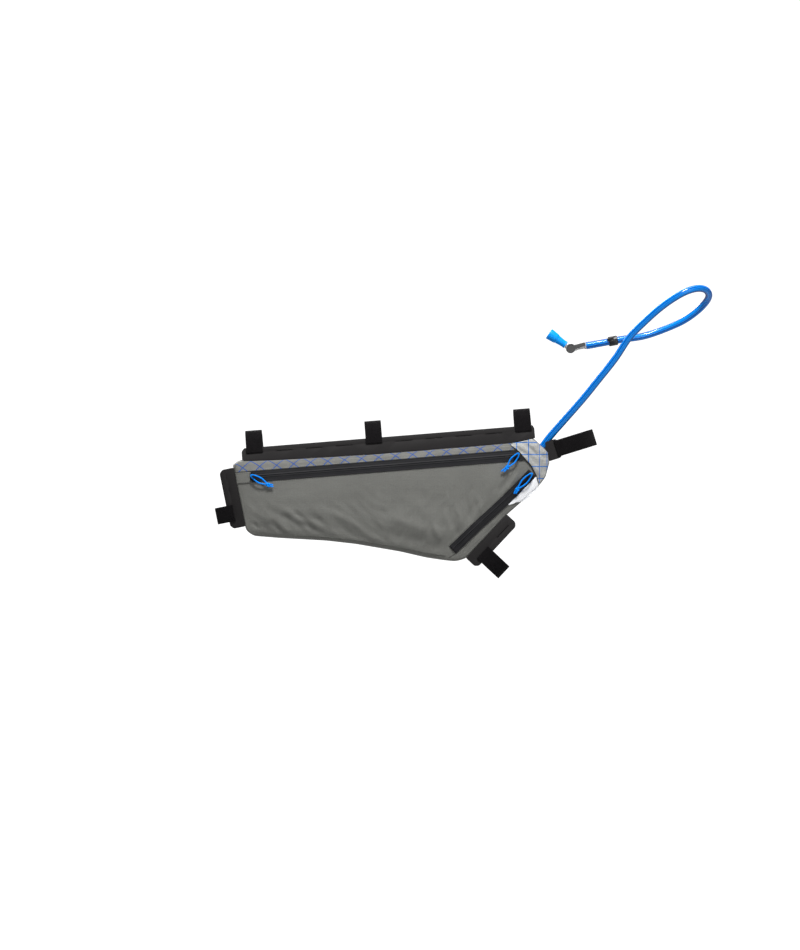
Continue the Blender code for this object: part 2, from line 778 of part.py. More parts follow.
def build_pull(pull, spot, eye, across):
    """A loop of cord through the slider's eye, tied in a knot with a short tail."""
    knot_spot = spot + Vector((pull.knot_ahead, -pull.knot_down))
    lift = ZIP_THICKNESS + ZIP_RIB_RISE + 2.0 * GAP + KNOT_RADIUS
    knot = Vector((knot_spot.x, outer_height(knot_spot, lift), knot_spot.y))
    toward = (knot - eye).normalized()
    step = BAIL_WIDTH / 2.0 + GAP + PULL_CORD_RADIUS
    clear = BAIL_LENGTH / 2.0 + PULL_CORD_RADIUS
    spread_side = across * (step + 2.0 * PULL_CORD_RADIUS)
    middle = eye.lerp(knot, 0.5)
    path = [
        knot - toward * KNOT_RADIUS * 0.5 + across * PULL_CORD_RADIUS * 1.3,
        middle + spread_side,
        eye + toward * clear + across * (step + PULL_CORD_RADIUS),
        eye + toward * PULL_CORD_RADIUS + across * (step + 0.5 * PULL_CORD_RADIUS),
        eye + across * BAIL_WIDTH / 2.0,
        eye - across * BAIL_WIDTH / 2.0,
        eye + toward * PULL_CORD_RADIUS - across * (step + 0.5 * PULL_CORD_RADIUS),
        eye + toward * clear - across * (step + PULL_CORD_RADIUS),
        middle - spread_side,
        knot - toward * KNOT_RADIUS * 0.5 - across * PULL_CORD_RADIUS * 1.3,
    ]
    cord = bar_mesh(f"{pull.name}_pull", path, PULL_CORD_RADIUS, BLUE_CORD)
    edit = bmesh.new()
    place = Matrix.Translation(knot)
    bmesh.ops.create_uvsphere(edit, u_segments=10, v_segments=6, radius=KNOT_RADIUS, matrix=place)
    combine(cord, add_object(f"knot_{pull.name}", edit, BLUE_CORD), "UNION")
    tail_end = knot + Vector((pull.tail_ahead, 0.0, -pull.tail_down))
    tail_path = [knot, knot.lerp(tail_end, 0.5), tail_end]
    tail = bar_mesh(f"tail_{pull.name}", tail_path, PULL_CORD_RADIUS, BLUE_CORD)
    combine(cord, tail, "UNION")


def build_sliders_and_pulls():
    """The three sliders, each with its cord pull."""
    lines = {"upper": upper_zip_line(), "lower": lower_zip_line()}
    for pull in PULLS:
        spot, run = point_on_line(lines[pull.zip], pull.share)
        eye, across = build_slider(pull, spot, run)
        build_pull(pull, spot, eye, across)


# Flanges and straps share the plane square to their tube: "side" is away from the bag's middle
# plane, and "out" runs from the pouch's edge across the tube.
Flange = namedtuple("Flange", "name frame root slots start end slot_out tip_out tip_side lean")


def frame_point(frame, along, out, side):
    """A point from a tube's frame: along it, out from it, and Y."""
    spot = frame.centre + frame.along * along + frame.out * out
    return Vector((spot.x, side, spot.y))


def plate_side(flange, out):
    """How far from the middle plane a flange's middle layer stands."""
    return flange.tip_side + flange.lean * (flange.tip_out - out)


def flange_root_side():
    """How far from the middle plane a flange's root stands, on the pouch's rounded edge."""
    reach = CORNER_RADIUS + GAP + FLANGE_THICKNESS / 2.0
    return EDGE_HALF - CORNER_RADIUS + reach * math.cos(FLANGE_SEAT_ANGLE)


def flange_root_out(edge_out):
    """How far out a flange's root stands, from where the pouch's edge is."""
    reach = CORNER_RADIUS + GAP + FLANGE_THICKNESS / 2.0
    return edge_out - CORNER_RADIUS + reach * math.sin(FLANGE_SEAT_ANGLE) - GAP / 2.0


def flange_columns(flange):
    """Places along a flange where its mesh has a column, and which spans hold a slot."""
    first_room = flange.slots[0] - SLOT_LENGTH / 2.0 - flange.start
    last_room = flange.end - flange.slots[-1] - SLOT_LENGTH / 2.0
    places = [flange.start, flange.start + min(FLANGE_CORNER, FLANGE_CORNER_SHARE * first_room)]
    slot_spans = []
    for slot in flange.slots:
        slot_spans.append(len(places))
        places += [slot - SLOT_LENGTH / 2.0, slot + SLOT_LENGTH / 2.0]
    places += [flange.end - min(FLANGE_CORNER, FLANGE_CORNER_SHARE * last_room), flange.end]
    return places, slot_spans


def build_flange(flange, side_name, sign):
    """A thin slotted plate from the pouch's edge up beside the tube."""
    places, slot_spans = flange_columns(flange)
    last = len(places) - 1
    edit = bmesh.new()
    columns = []
    for i, along in enumerate(places):
        tip_out = flange.tip_out - (FLANGE_CORNER if i in (0, last) else 0.0)
        slot_low = flange.slot_out - SLOT_HEIGHT / 2.0
        slot_high = flange.slot_out + SLOT_HEIGHT / 2.0
        rows = [(flange_root_out(flange.root(along)), flange_root_side())]
        for out in (slot_low, slot_high, tip_out):
            rows.append((out, plate_side(flange, out)))
        columns.append([
            edit.verts.new(frame_point(flange.frame, along, out, sign * side)) for out, side in rows
        ])
    for i in range(last):
        for k in range(3):
            if k == 1 and i in slot_spans:
                continue
            edit.faces.new((columns[i][k], columns[i + 1][k], columns[i + 1][k + 1], columns[i][k + 1]))
    plate = add_object(f"{flange.name}_flange_{side_name}", edit, FLANGE_RUBBER)
    thicken(plate, FLANGE_THICKNESS, 0.0, False)


def hull(points):
    """Convex hull of points in a plane, counterclockwise."""
    ordered = sorted(set((round(x, 9), round(y, 9)) for x, y in points))

    def half(run):
        chain = []
        for point in run:
            while len(chain) > 1 and turn(chain[-2], chain[-1], point) <= 0.0:
                chain.pop()
            chain.append(point)
        return chain[:-1]

    return half(ordered) + half(ordered[::-1])


def turn(a, b, c):
    """Twice the signed area of a triangle."""
    return (b[0] - a[0]) * (c[1] - a[1]) - (b[1] - a[1]) * (c[0] - a[0])


def round_from(points, start, end):
    """The stretch of a closed list from the point nearest start on to the one nearest end."""
    def nearest(target):
        return min(range(len(points)), key=lambda i: (Vector(points[i]) - target).length)

    first, final = nearest(start), nearest(end)
    if final < first:
        final += len(points)
    return [Vector(points[i % len(points)]) for i in range(first, final + 1)]


def strap_path(flange, tube_radius):
    """Middle line of a strap in its tube's plane, as (side, out), near side negative."""
    lie = STRAP_THICKNESS / 2.0 + GAP
    circle = [
        (
            (tube_radius + lie) * math.cos(2.0 * math.pi * k / STRAP_ARC_STEPS),
            (tube_radius + lie) * math.sin(2.0 * math.pi * k / STRAP_ARC_STEPS),
        )
        for k in range(STRAP_ARC_STEPS)
    ]
    slope = Vector((-flange.lean, 1.0)).normalized()
    away = Vector((slope.y, -slope.x))
    off = FLANGE_THICKNESS / 2.0 + lie
    slot = Vector((plate_side(flange, flange.slot_out), flange.slot_out))
    tip = Vector((flange.tip_side, flange.tip_out))
    far_outside = slot + away * off
    far_inside = slot - away * (off + STRAP_THICKNESS / 3.0)
    far_tip = tip + away * off
    near_outside, near_inside, near_tip = (Vector((-p.x, p.y)) for p in (far_outside, far_inside, far_tip))
    outside = hull(circle + [tuple(p) for p in (far_outside, far_tip, near_outside, near_tip)])
    over = round_from(outside, far_outside, near_outside)[::-1]
    inside = hull(circle + [tuple(far_inside), tuple(near_inside)])
    under = round_from(inside, near_inside, far_inside)[::-1]
    return over, under


def overlapped_path(over, under):
    """The whole strap: it starts near the top, goes once round and ends over its own start."""
    def lean_angle(point):
        return math.atan2(point.x, point.y)

    first = next(i for i, p in enumerate(over) if lean_angle(p) > -STRAP_OVERLAP_START)
    final = max(i for i, p in enumerate(over) if lean_angle(p) < STRAP_OVERLAP_END)
    raised = []
    for i in range(first - 1, final + 1):
        run = (over[i + 1] - over[i - 1]).normalized()
        raised.append(over[i] + Vector((-run.y, run.x)) * (STRAP_THICKNESS + GAP))
    return over[first:] + under + over[:first - 1] + raised


def ribbon(name, frame, path, finish):
    """A flat strap of even thickness along a path in its tube's plane."""
    edit = bmesh.new()
    loops = []
    for i, point in enumerate(path):
        before = (point - path[i - 1]).normalized() if i else (path[1] - point).normalized()
        after = (path[i + 1] - point).normalized() if i < len(path) - 1 else before
        run = (before + after).normalized()
        mitre = Vector((-run.y, run.x)) / max(0.35, run.dot(before))
        half = mitre * (STRAP_THICKNESS / 2.0)
        corners = ((point - half, -0.5), (point + half, -0.5), (point + half, 0.5), (point - half, 0.5))
        loops.append([
            frame_point(frame, share * STRAP_WIDTH, spot.y, spot.x) for spot, share in corners
        ])
    loft(edit, loops)
    return add_object(name, edit, finish)


def build_strap(name, flange, tube_radius, along):
    """One strap round a tube, through the near and the far flange."""
    over, under = strap_path(flange, tube_radius)
    frame = Frame(flange.frame.centre + flange.frame.along * along, flange.frame.along, flange.frame.out)
    ribbon(name, frame, overlapped_path(over, under), STRAP_WEB)


def edge_frame(start, end, standoff):
    """Frame of a tube that lies beside a straight edge of the pouch, at the edge's middle."""
    along = (end - start).normalized()
    out = Vector((along.y, -along.x))
    return Frame((start + end) / 2.0 + out * standoff, along, out)


def top_tube_flange():
    """The long flange along the top tube."""
    along = Vector((math.cos(TOP_TUBE_SLOPE), math.sin(TOP_TUBE_SLOPE)))
    frame = Frame(Vector((0.0, 0.0)), along, Vector((-along.y, along.x)))
    slots = [TOP_SLOT_PITCH * i for i in range(-TOP_SLOTS_BEHIND, TOP_SLOTS_AHEAD + 1)]
    front = TOP_LINE[FIRST_CHAMFER_SECTION].x

    def root(place):
        x = min(place * along.x, front)
        return (top_seam_height(x) - tube_height(x)) * along.x

    tip_side = TOP_TUBE_RADIUS + GAP + FLANGE_THICKNESS / 2.0
    tip_out = TOP_FLANGE_LIP - TOP_SLOT_DROP
    lean = (flange_root_side() - tip_side) / (SEAM_DROP + tip_out)
    start = slots[0] - TOP_FLANGE_REAR
    end = slots[-1] + TOP_FLANGE_FRONT
    return Flange("top_tube", frame, root, slots, start, end, -TOP_SLOT_DROP, tip_out, tip_side, lean)


def side_flange(name, start, end, standoff, tube_radius):
    """A short flange with two slots, beside the seat tube or the down tube."""
    frame = edge_frame(start, end, standoff)
    slots = [-SIDE_SLOT_SPACING / 2.0, SIDE_SLOT_SPACING / 2.0]
    slot_out = SIDE_SLOT_OFFSET - standoff
    tip_out = slot_out + SIDE_FLANGE_LIP
    tip_side = tube_radius + GAP + FLANGE_THICKNESS / 2.0
    lean = (flange_root_side() - tip_side) / (tip_out + standoff)
    half = SIDE_FLANGE_LENGTH / 2.0

    def root(_place):
        return -standoff

    return Flange(name, frame, root, slots, -half, half, slot_out, tip_out, tip_side, lean)


def head_tube_flange():
    """The tab ahead of the pouch's front edge, with one slot."""
    along = Vector((-math.sin(HEAD_TUBE_TILT), math.cos(HEAD_TUBE_TILT)))
    out = Vector((along.y, -along.x))
    low, high = FOOT_LINE[-1], TOP_LINE[-1]
    middle = (low + high) / 2.0
    slot = middle + Vector((HEAD_SLOT_AHEAD, HEAD_SLOT_RISE))
    frame = Frame(slot + out * HEAD_SLOT_TO_AXIS, along, out)
    half = HEAD_FLANGE_LENGTH / 2.0

    def root(place):
        share = 0.5 + 0.5 * place / half
        on_edge = low.lerp(high, 0.05 + 0.9 * share) - frame.centre
        return on_edge.dot(out)

    tip_out = HEAD_FLANGE_LIP - HEAD_SLOT_TO_AXIS
    side = flange_root_side()
    return Flange("head_tube", frame, root, [0.0], -half, half, -HEAD_SLOT_TO_AXIS, tip_out, side, 0.0)


def build_flanges_and_straps():
    """All flanges, near and far, and the straps through them."""
    top = top_tube_flange()
    seat = side_flange("seat_tube", TOP_LINE[0], FOOT_LINE[0], SEAT_STANDOFF, SEAT_TUBE_RADIUS)
    edge = FOOT_LINE[LAST_DOWN_TUBE_SECTION], FOOT_LINE[FIRST_DOWN_TUBE_SECTION]
    down = side_flange("down_tube", edge[1], edge[0], DOWN_STANDOFF, DOWN_TUBE_RADIUS)
    head = head_tube_flange()
    for flange in (top, seat, down, head):
        build_flange(flange, "near", -1.0)
        build_flange(flange, "far", 1.0)
    build_strap("top_tube_strap_rear", top, TOP_TUBE_RADIUS, top.slots[0])
    build_strap("top_tube_strap_middle", top, TOP_TUBE_RADIUS, 0.0)
    build_strap("top_tube_strap_front", top, TOP_TUBE_RADIUS, top.slots[-1])
    build_strap("seat_tube_strap", seat, SEAT_TUBE_RADIUS, seat.slots[1])
    build_strap("down_tube_strap", down, DOWN_TUBE_RADIUS, down.slots[0])
    build_strap("head_tube_strap", head, HEAD_TUBE_RADIUS, 0.0)


# Hose, clip and drinking valve

def smooth_route(points, step):
    """Points at even steps along a smooth curve through the route's own points."""
    knots = [Vector(point) for point in points]
    fine = []
    for i in range(len(knots) - 1):
        start, end = knots[i], knots[i + 1]
        before = knots[max(i - 1, 0)]
        after = knots[min(i + 2, len(knots) - 1)]
        handle_out = start + (end - before) / 6.0
        handle_in = end - (after - start) / 6.0
        fine += interpolate_bezier(start, handle_out, handle_in, end, ROUTE_STEPS)[:-1]
    fine.append(knots[-1])
    lengths = [0.0]
    for start, end in zip(fine, fine[1:]):
        lengths.append(lengths[-1] + (end - start).length)
    count = round(lengths[-1] / step)
    even = []
    k = 0
    for i in range(count + 1):
        goal = lengths[-1] * i / count
        while k < len(fine) - 2 and lengths[k + 1] < goal:
            k += 1
        share = (goal - lengths[k]) / (lengths[k + 1] - lengths[k])
        even.append(fine[k].lerp(fine[k + 1], share))
    return even


def build_hose():
    """The drink hose from inside the port, up and round to the elbow."""
    cord_curve("hose", smooth_route(HOSE_ROUTE, HOSE_STEP), HOSE_DIAMETER / 2.0, BLUE_TUBE, 2)


def build_clip():
    """The clip on the hose: a sleeve with a flat foot behind it."""
    route = smooth_route(HOSE_ROUTE, HOSE_STEP)
    target = Vector(HOSE_ROUTE[CLIP_ROUTE_POINT])
    nearest = min(range(1, len(route) - 1), key=lambda i: (route[i] - target).length)
    run = (route[nearest + 1] - route[nearest - 1]).normalized()
    middle = route[nearest]
    bore = HOSE_DIAMETER / 2.0 + GAP
    bend_room = CLIP_LENGTH * 0.02
    half = run * CLIP_LENGTH / 2.0
    radius = bore + bend_room
    sleeve = radius + CLIP_WALL
    clip = tube_between("hose_clip", middle - half, middle + half, sleeve, CLIP_PLASTIC, 16)
    edit = bmesh.new()
    up = run.cross(Vector((0.0, 1.0, 0.0))).normalized()
    back = Vector((0.0, 1.0, 0.0))
    near = bore + CLIP_WALL / 2.0
    loops = []
    for distance in (near, bore + CLIP_WALL + CLIP_FOOT_DEPTH):
        face = middle + back * distance
        along, rise = run * CLIP_FOOT_LENGTH / 2.0, up * CLIP_FOOT_HEIGHT / 2.0
        flat = Vector((1.0, 0.0, 1.0))
        corners = (face - along - rise, face + along - rise, face + along + rise, face - along + rise)
        loops.append([corner * flat + back * face.y for corner in corners])
    loft(edit, loops)
    combine(clip, add_object("clip_foot", edit, CLIP_PLASTIC), "UNION")
    reach = run * CLIP_LENGTH
    cutter = tube_between("clip_bore", middle - reach, middle + reach, radius, CUTTER, 16)
    combine(clip, cutter, "DIFFERENCE")


def valve_axes():
    """Where the valve starts on the hose's end, and its directions."""
    end, before = Vector(HOSE_ROUTE[-1]), Vector(HOSE_ROUTE[-2])
    run = (end - before).normalized()
    tilt = Matrix.Rotation(ELBOW_TURN, 3, "Y")
    return end + run * GAP, run, tilt @ run


def build_elbow():
    """The clear elbow between the hose and the bite valve, bored through, with the lever's socket."""
    start, run, mouth = valve_axes()
    corner = start + run * ELBOW_LENGTH
    finish = corner + mouth * ELBOW_NECK
    bend = ELBOW_RADIUS * 0.8
    path = [
        start,
        corner - run * bend,
        corner + (mouth - run) * bend * 0.25,
        corner + mouth * bend,
        finish,
    ]
    elbow = bar_mesh("elbow_valve", path, ELBOW_RADIUS, CLEAR_PLASTIC, 14)
    bore_path = [start - run * ELBOW_RADIUS] + path[1:4] + [finish + mouth * ELBOW_RADIUS]
    combine(elbow, bar_mesh("elbow_bore", bore_path, ELBOW_BORE, CUTTER, 10), "DIFFERENCE")
    out = Vector((0.0, -1.0, 0.0))
    socket = corner + out * (ELBOW_RADIUS - SPINDLE_LENGTH)
    mouth_of_socket = corner + out * 2.0 * ELBOW_RADIUS
    cutter = tube_between("spindle_socket", socket, mouth_of_socket, SPINDLE_RADIUS + GAP, CUTTER, 14)
    combine(elbow, cutter, "DIFFERENCE")


def build_lever():
    """The shut-off lever: a round hub on a spindle, with an arm back along the collar."""
    start, run, _mouth = valve_axes()
    corner = start + run * ELBOW_LENGTH
    out = Vector((0.0, -1.0, 0.0))
    face = ELBOW_RADIUS + GAP
    pivot = bpy.data.objects.new("lever_pivot", None)
    pivot.location = corner
    bpy.context.collection.objects.link(pivot)
    base = out * face
    hub = tube_between("valve_lever", base, base + out * HUB_THICKNESS, HUB_RADIUS, DARK_PLASTIC, 24)
    hub.parent = pivot
    arm_run = Matrix.Rotation(-LEVER_RISE, 3, "Y") @ Vector((1.0, 0.0, 0.0))
    side = arm_run.cross(out)
    edit = bmesh.new()
    loops = []
    widths = (
        (HUB_RADIUS * 0.3, LEVER_WIDTH),
        (LEVER_LENGTH - LEVER_TIP_CHAMFER, LEVER_TIP_WIDTH),
        (LEVER_LENGTH, LEVER_TIP_WIDTH - 2.0 * LEVER_TIP_CHAMFER),
    )
    for distance, width in widths:
        spot = base + arm_run * distance
        low, high = spot - side * width / 2.0, spot + side * width / 2.0
        loops.append([low, high, high + out * LEVER_THICKNESS, low + out * LEVER_THICKNESS])
    loft(edit, loops)
    arm = add_object("lever_arm", edit, DARK_PLASTIC)
    arm.parent = pivot
    combine(hub, arm, "UNION")
    spindle_end = base - out * (SPINDLE_LENGTH - GAP)
    spindle_root = base + out * HUB_THICKNESS / 2.0
    spindle = tube_between("lever_spindle", spindle_end, spindle_root, SPINDLE_RADIUS, DARK_PLASTIC, 12)
    spindle.parent = pivot
    combine(hub, spindle, "UNION")


def build_bite_valve():
    """The soft mouthpiece: a slim base that widens to an open rim."""
    start, run, mouth = valve_axes()
    corner = start + run * ELBOW_LENGTH
    base = corner + mouth * (ELBOW_NECK + GAP)
    profile = (
        (0.0, BITE_BASE_RADIUS - BITE_WALL),
        (0.0, BITE_BASE_RADIUS),
        (BITE_SHOULDER_START, BITE_BASE_RADIUS * BITE_BASE_FLARE),
        (BITE_SHOULDER_END, BITE_MOUTH_RADIUS * BITE_SHOULDER_SIZE),
        (BITE_RIM_START, BITE_MOUTH_RADIUS),
        (1.0, BITE_MOUTH_RADIUS - BITE_WALL / 2.0),
        (1.0, BITE_MOUTH_RADIUS - BITE_WALL),
        (1.0 - BITE_RECESS / BITE_LENGTH, BITE_MOUTH_RADIUS - 2.0 * BITE_WALL),
    )
    edit = bmesh.new()
    side = Vector((0.0, 1.0, 0.0))
    up = mouth.cross(side)
    loops = []
    for share, radius in profile:
        middle = base + mouth * BITE_LENGTH * share
        loops.append([
            middle + (side * math.cos(angle) + up * math.sin(angle)) * radius
            for angle in (2.0 * math.pi * k / BITE_SIDES for k in range(BITE_SIDES))
        ])
    loft(edit, loops)
    add_object("bite_valve", edit, BLUE_SILICONE)


clear_scene()

SAGE_FABRIC = material("sage_fabric", (0.155, 0.162, 0.138), 0.62)
BAND_FABRIC = material("band_fabric", (0.31, 0.32, 0.28), 0.6)
PALE_FABRIC = material("pale_fabric", (0.42, 0.43, 0.4), 0.5)
WHITE_FABRIC = material("white_fabric", (0.8, 0.81, 0.83), 0.5)
ZIP_TAPE = material("zip_tape", (0.027, 0.028, 0.032), 0.45)
SLIDER_METAL = material("slider_metal", (0.05, 0.05, 0.05), 0.4, 0.8)
BLUE_CORD = material("blue_cord", (0.0, 0.26, 0.85), 0.6)
FLANGE_RUBBER = material("flange_rubber", (0.03, 0.028, 0.027), 0.55)
STRAP_WEB = material("strap_web", (0.012, 0.011, 0.011), 0.95)
BLUE_TUBE = material("blue_tube", (0.0, 0.25, 0.85), 0.2)
CLIP_PLASTIC = material("clip_plastic", (0.015, 0.015, 0.015), 0.4)
CLEAR_PLASTIC = material("clear_plastic", (0.75, 0.75, 0.75), 0.15)
DARK_PLASTIC = material("dark_plastic", (0.06, 0.06, 0.06), 0.5)
BLUE_SILICONE = material("blue_silicone", (0.0, 0.3, 0.95), 0.35)
CUTTER = material("cutter", (0.5, 0.5, 0.5), 0.5)

build_shell()
build_top_band()
build_side_panel("corner_panel", CORNER_PANEL, PALE_FABRIC)
build_white_panel()
build_garage()
zip_strip("upper_zip", upper_zip_line(), ZIP_WIDTH, True)
zip_strip("lower_zip", lower_zip_line(), LOWER_ZIP_WIDTH, False)
build_sliders_and_pulls()
build_flanges_and_straps()
build_hose()
build_clip()
build_elbow()
build_lever()
build_bite_valve()
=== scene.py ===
"""Looks of a half-frame bicycle bag with a drink hose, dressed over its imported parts.

Metres, in the frame of the parts: +X forward along the bicycle, +Z up, -Y towards the side with the
zips. The origin is the axis of the top tube at the middle strap.
"""

from __future__ import annotations

import logging
import math
from dataclasses import dataclass
from enum import Enum
from typing import Protocol

import bmesh
import bpy
from mathutils import Matrix, Vector, noise
from mathutils.geometry import interpolate_bezier, intersect_point_line
from mathutils.kdtree import KDTree


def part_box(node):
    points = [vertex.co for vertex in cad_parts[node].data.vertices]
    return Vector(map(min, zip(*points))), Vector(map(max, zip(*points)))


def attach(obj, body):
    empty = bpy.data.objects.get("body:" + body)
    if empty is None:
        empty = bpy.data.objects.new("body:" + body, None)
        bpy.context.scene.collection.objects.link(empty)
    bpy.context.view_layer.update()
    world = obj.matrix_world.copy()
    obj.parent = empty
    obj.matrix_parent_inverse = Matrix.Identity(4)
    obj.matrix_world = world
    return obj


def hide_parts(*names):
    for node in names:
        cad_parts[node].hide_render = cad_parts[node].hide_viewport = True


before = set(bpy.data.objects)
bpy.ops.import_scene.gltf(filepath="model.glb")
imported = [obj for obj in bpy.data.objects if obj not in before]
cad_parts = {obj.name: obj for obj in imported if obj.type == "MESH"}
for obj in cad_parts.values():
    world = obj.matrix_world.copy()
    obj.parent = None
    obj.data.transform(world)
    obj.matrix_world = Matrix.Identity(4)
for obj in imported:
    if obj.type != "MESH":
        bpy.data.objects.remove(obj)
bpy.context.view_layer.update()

LOG = logging.getLogger("frame_bag")
BAG_BODY = "bag"
LEVER_BODY = "lever"
BESIDE = Vector((0.0, 1.0, 0.0))
OUTWARD = Vector((0.0, -1.0, 0.0))
UV_NAME = "UVMap"
Mesh = bmesh.types.BMesh
Edges = list[bmesh.types.BMEdge]
Colour = tuple[float, float, float]
Mark = tuple[float, float]
Ring = tuple[list[Vector], list[Mark]]
Rows = list[list[Vector]]
Marks = list[list[Mark]]


class Side(Enum):
    """The two sides of the bag."""

    NEAR = -1.0
    FAR = 1.0


class SeamTone(Enum):
    """Thread colours."""

    PALE = "pale_thread"
    GREY = "grey_thread"
    DARK = "dark_thread"


@dataclass(frozen=True)
class Section:
    """One cross-line of the pouch: shares of its length, its seam's drop and its depth."""

    top_along: float
    top_drop: float
    foot_along: float
    foot_drop: float


SECTIONS = (
    Section(0.000, 1.020, 0.040, 0.625),
    Section(0.008, 0.910, 0.046, 0.653),
    Section(0.023, 0.790, 0.065, 0.686),
    Section(0.149, 0.897, 0.146, 0.717),
    Section(0.297, 0.948, 0.294, 0.765),
    Section(0.398, 0.983, 0.389, 0.809),
    Section(0.533, 1.000, 0.528, 0.892),
    Section(0.619, 1.000, 0.610, 0.953),
    Section(0.680, 1.000, 0.667, 0.984),
    Section(0.722, 1.000, 0.704, 1.000),
    Section(0.760, 1.000, 0.736, 0.986),
    Section(0.829, 0.990, 0.802, 0.833),
    Section(0.888, 0.976, 0.867, 0.678),
    Section(0.926, 0.900, 0.916, 0.585),
    Section(0.947, 0.834, 0.966, 0.486),
    Section(0.973, 1.245, 0.988, 0.422),
    Section(0.996, 1.620, 1.000, 0.317),
)


@dataclass(frozen=True)
class Fold:
    """A ridge (height above 0) or crease (below 0) of the near side, in millimetres of the side view."""

    start_x: float
    start_z: float
    end_x: float
    end_z: float
    height: float
    width: float


FOLDS = (
    Fold(-120.8, -117.3, -95.3, -127.8, -1.0, 4.5),
    Fold(-138.8, -119.9, -106.5, -139.8, -1.3, 4.5),
    Fold(-106.5, -130.8, -89.3, -145.8, -0.9, 4.0),
    Fold(-71.3, -120.3, -42.8, -135.3, -0.8, 6.0),
    Fold(-180.8, -133.0, -171.8, -141.3, -0.7, 3.0),
    Fold(-152.3, -130.8, -138.8, -143.7, -0.9, 4.0),
    Fold(-129.8, -114.3, -101.3, -133.8, 1.1, 4.5),
    Fold(-110.3, -118.8, -77.3, -141.3, 1.0, 5.0),
    Fold(-95.3, -109.8, -35.3, -130.8, 0.9, 8.0),
    Fold(-167.3, -121.8, -125.3, -147.3, 0.8, 5.5),
    Fold(-57.8, -132.3, -20.3, -157.8, -0.7, 6.0),
    Fold(123.8, -105.3, 133.5, -136.8, 0.9, 3.5),
    Fold(117.3, -126.3, 126.8, -151.0, -0.8, 3.5),
    Fold(140.1, -99.3, 144.8, -126.3, -0.8, 3.0),
    Fold(90.8, -134.7, 101.3, -159.3, 0.9, 4.0),
    Fold(214.8, -60.3, 198.8, -84.3, 1.1, 4.0),
    Fold(204.8, -62.8, 189.8, -84.8, -0.9, 4.0),
    Fold(107.3, -115.8, 114.8, -142.8, 0.7, 3.5),
    Fold(81.8, -127.8, 89.3, -157.8, -0.7, 4.0),
    Fold(156.8, -93.3, 161.3, -115.8, 0.7, 3.0),
    Fold(9.8, -142.8, 99.8, -169.8, -1.4, 9.0),
    Fold(24.8, -124.8, 107.3, -150.8, 1.0, 8.0),
    Fold(60.0, -95.0, 84.0, -128.0, 0.5, 9.0),
    Fold(-10.0, -118.0, 30.0, -150.0, 0.5, 9.0),
)


@dataclass(frozen=True)
class ZipPoint:
    """A point of the lower zip's middle line, as shares of the pouch's length and depth."""

    along: float
    drop: float


LOWER_ZIP = (
    ZipPoint(0.694, 0.914),
    ZipPoint(0.778, 0.738),
    ZipPoint(0.860, 0.5735),
    ZipPoint(0.905, 0.4757),
    ZipPoint(0.946, 0.382),
)


@dataclass(frozen=True)
class PanelRow:
    """A row across the corner panel, from its inner edge to its outer one, in the same shares."""

    inner_along: float
    inner_drop: float
    outer_along: float
    outer_drop: float


CORNER_PANEL = (
    PanelRow(0.877, 0.158, 0.884, 0.148),
    PanelRow(0.893, 0.191, 0.915, 0.143),
    PanelRow(0.908, 0.228, 0.943, 0.140),
    PanelRow(0.925, 0.278, 0.969, 0.196),
    PanelRow(0.943, 0.332, 0.989, 0.250),
    PanelRow(0.957, 0.396, 0.993, 0.335),
    PanelRow(0.963, 0.443, 0.984, 0.412),
    PanelRow(0.966, 0.466, 0.970, 0.462),
)


@dataclass(frozen=True)
class WidthRow:
    """The white panel's width at a share of the lower zip, as a share of the zip's width."""

    share: float
    width: float


WHITE_PANEL = (
    WidthRow(0.645, 0.10),
    WidthRow(0.700, 0.35),
    WidthRow(0.760, 0.80),
    WidthRow(0.840, 0.92),
    WidthRow(0.930, 0.92),
    WidthRow(1.000, 0.80),
)


@dataclass(frozen=True)
class PullSpot:
    """A slider's place on its zip, and where its knot and tail hang from there, in metres."""

    name: str
    share: float
    knot_ahead: float
    knot_down: float
    tail_ahead: float
    tail_down: float


UPPER_PULLS = (
    PullSpot("upper_rear", 0.012, 0.0222, 0.0124, 0.0078, 0.0012),
    PullSpot("upper_front", 0.982, -0.0150, 0.0181, -0.0068, 0.0062),
)
LOWER_PULLS = (PullSpot("lower", 0.968, -0.0191, 0.0205, -0.0035, 0.0069),)

HOSE_ROUTE = (
    (0.2455, -0.0120, -0.0295),
    (0.2535, -0.0132, -0.0185),
    (0.2655, -0.0150, -0.0020),
    (0.2882, -0.0240, 0.0240),
    (0.3147, -0.0340, 0.0545),
    (0.3373, -0.0420, 0.0830),
    (0.3626, -0.0490, 0.1151),
    (0.3818, -0.0550, 0.1451),
    (0.4064, -0.0610, 0.1699),
    (0.4266, -0.0660, 0.1881),
    (0.4469, -0.0690, 0.2027),
    (0.4664, -0.0680, 0.2136),
    (0.4852, -0.0600, 0.2186),
    (0.4979, -0.0460, 0.2165),
    (0.5038, -0.0290, 0.2093),
    (0.5015, -0.0130, 0.2019),
    (0.4955, -0.0010, 0.1938),
    (0.4836, 0.0070, 0.1832),
    (0.4667, 0.0120, 0.1719),
    (0.4460, 0.0130, 0.1627),
    (0.4229, 0.0120, 0.1539),
    (0.4032, 0.0090, 0.1481),
    (0.3798, 0.0050, 0.1452),
    (0.3530, 0.0020, 0.1403),
    (0.3414, 0.0000, 0.1381),
    (0.3203, 0.0000, 0.1345),
)


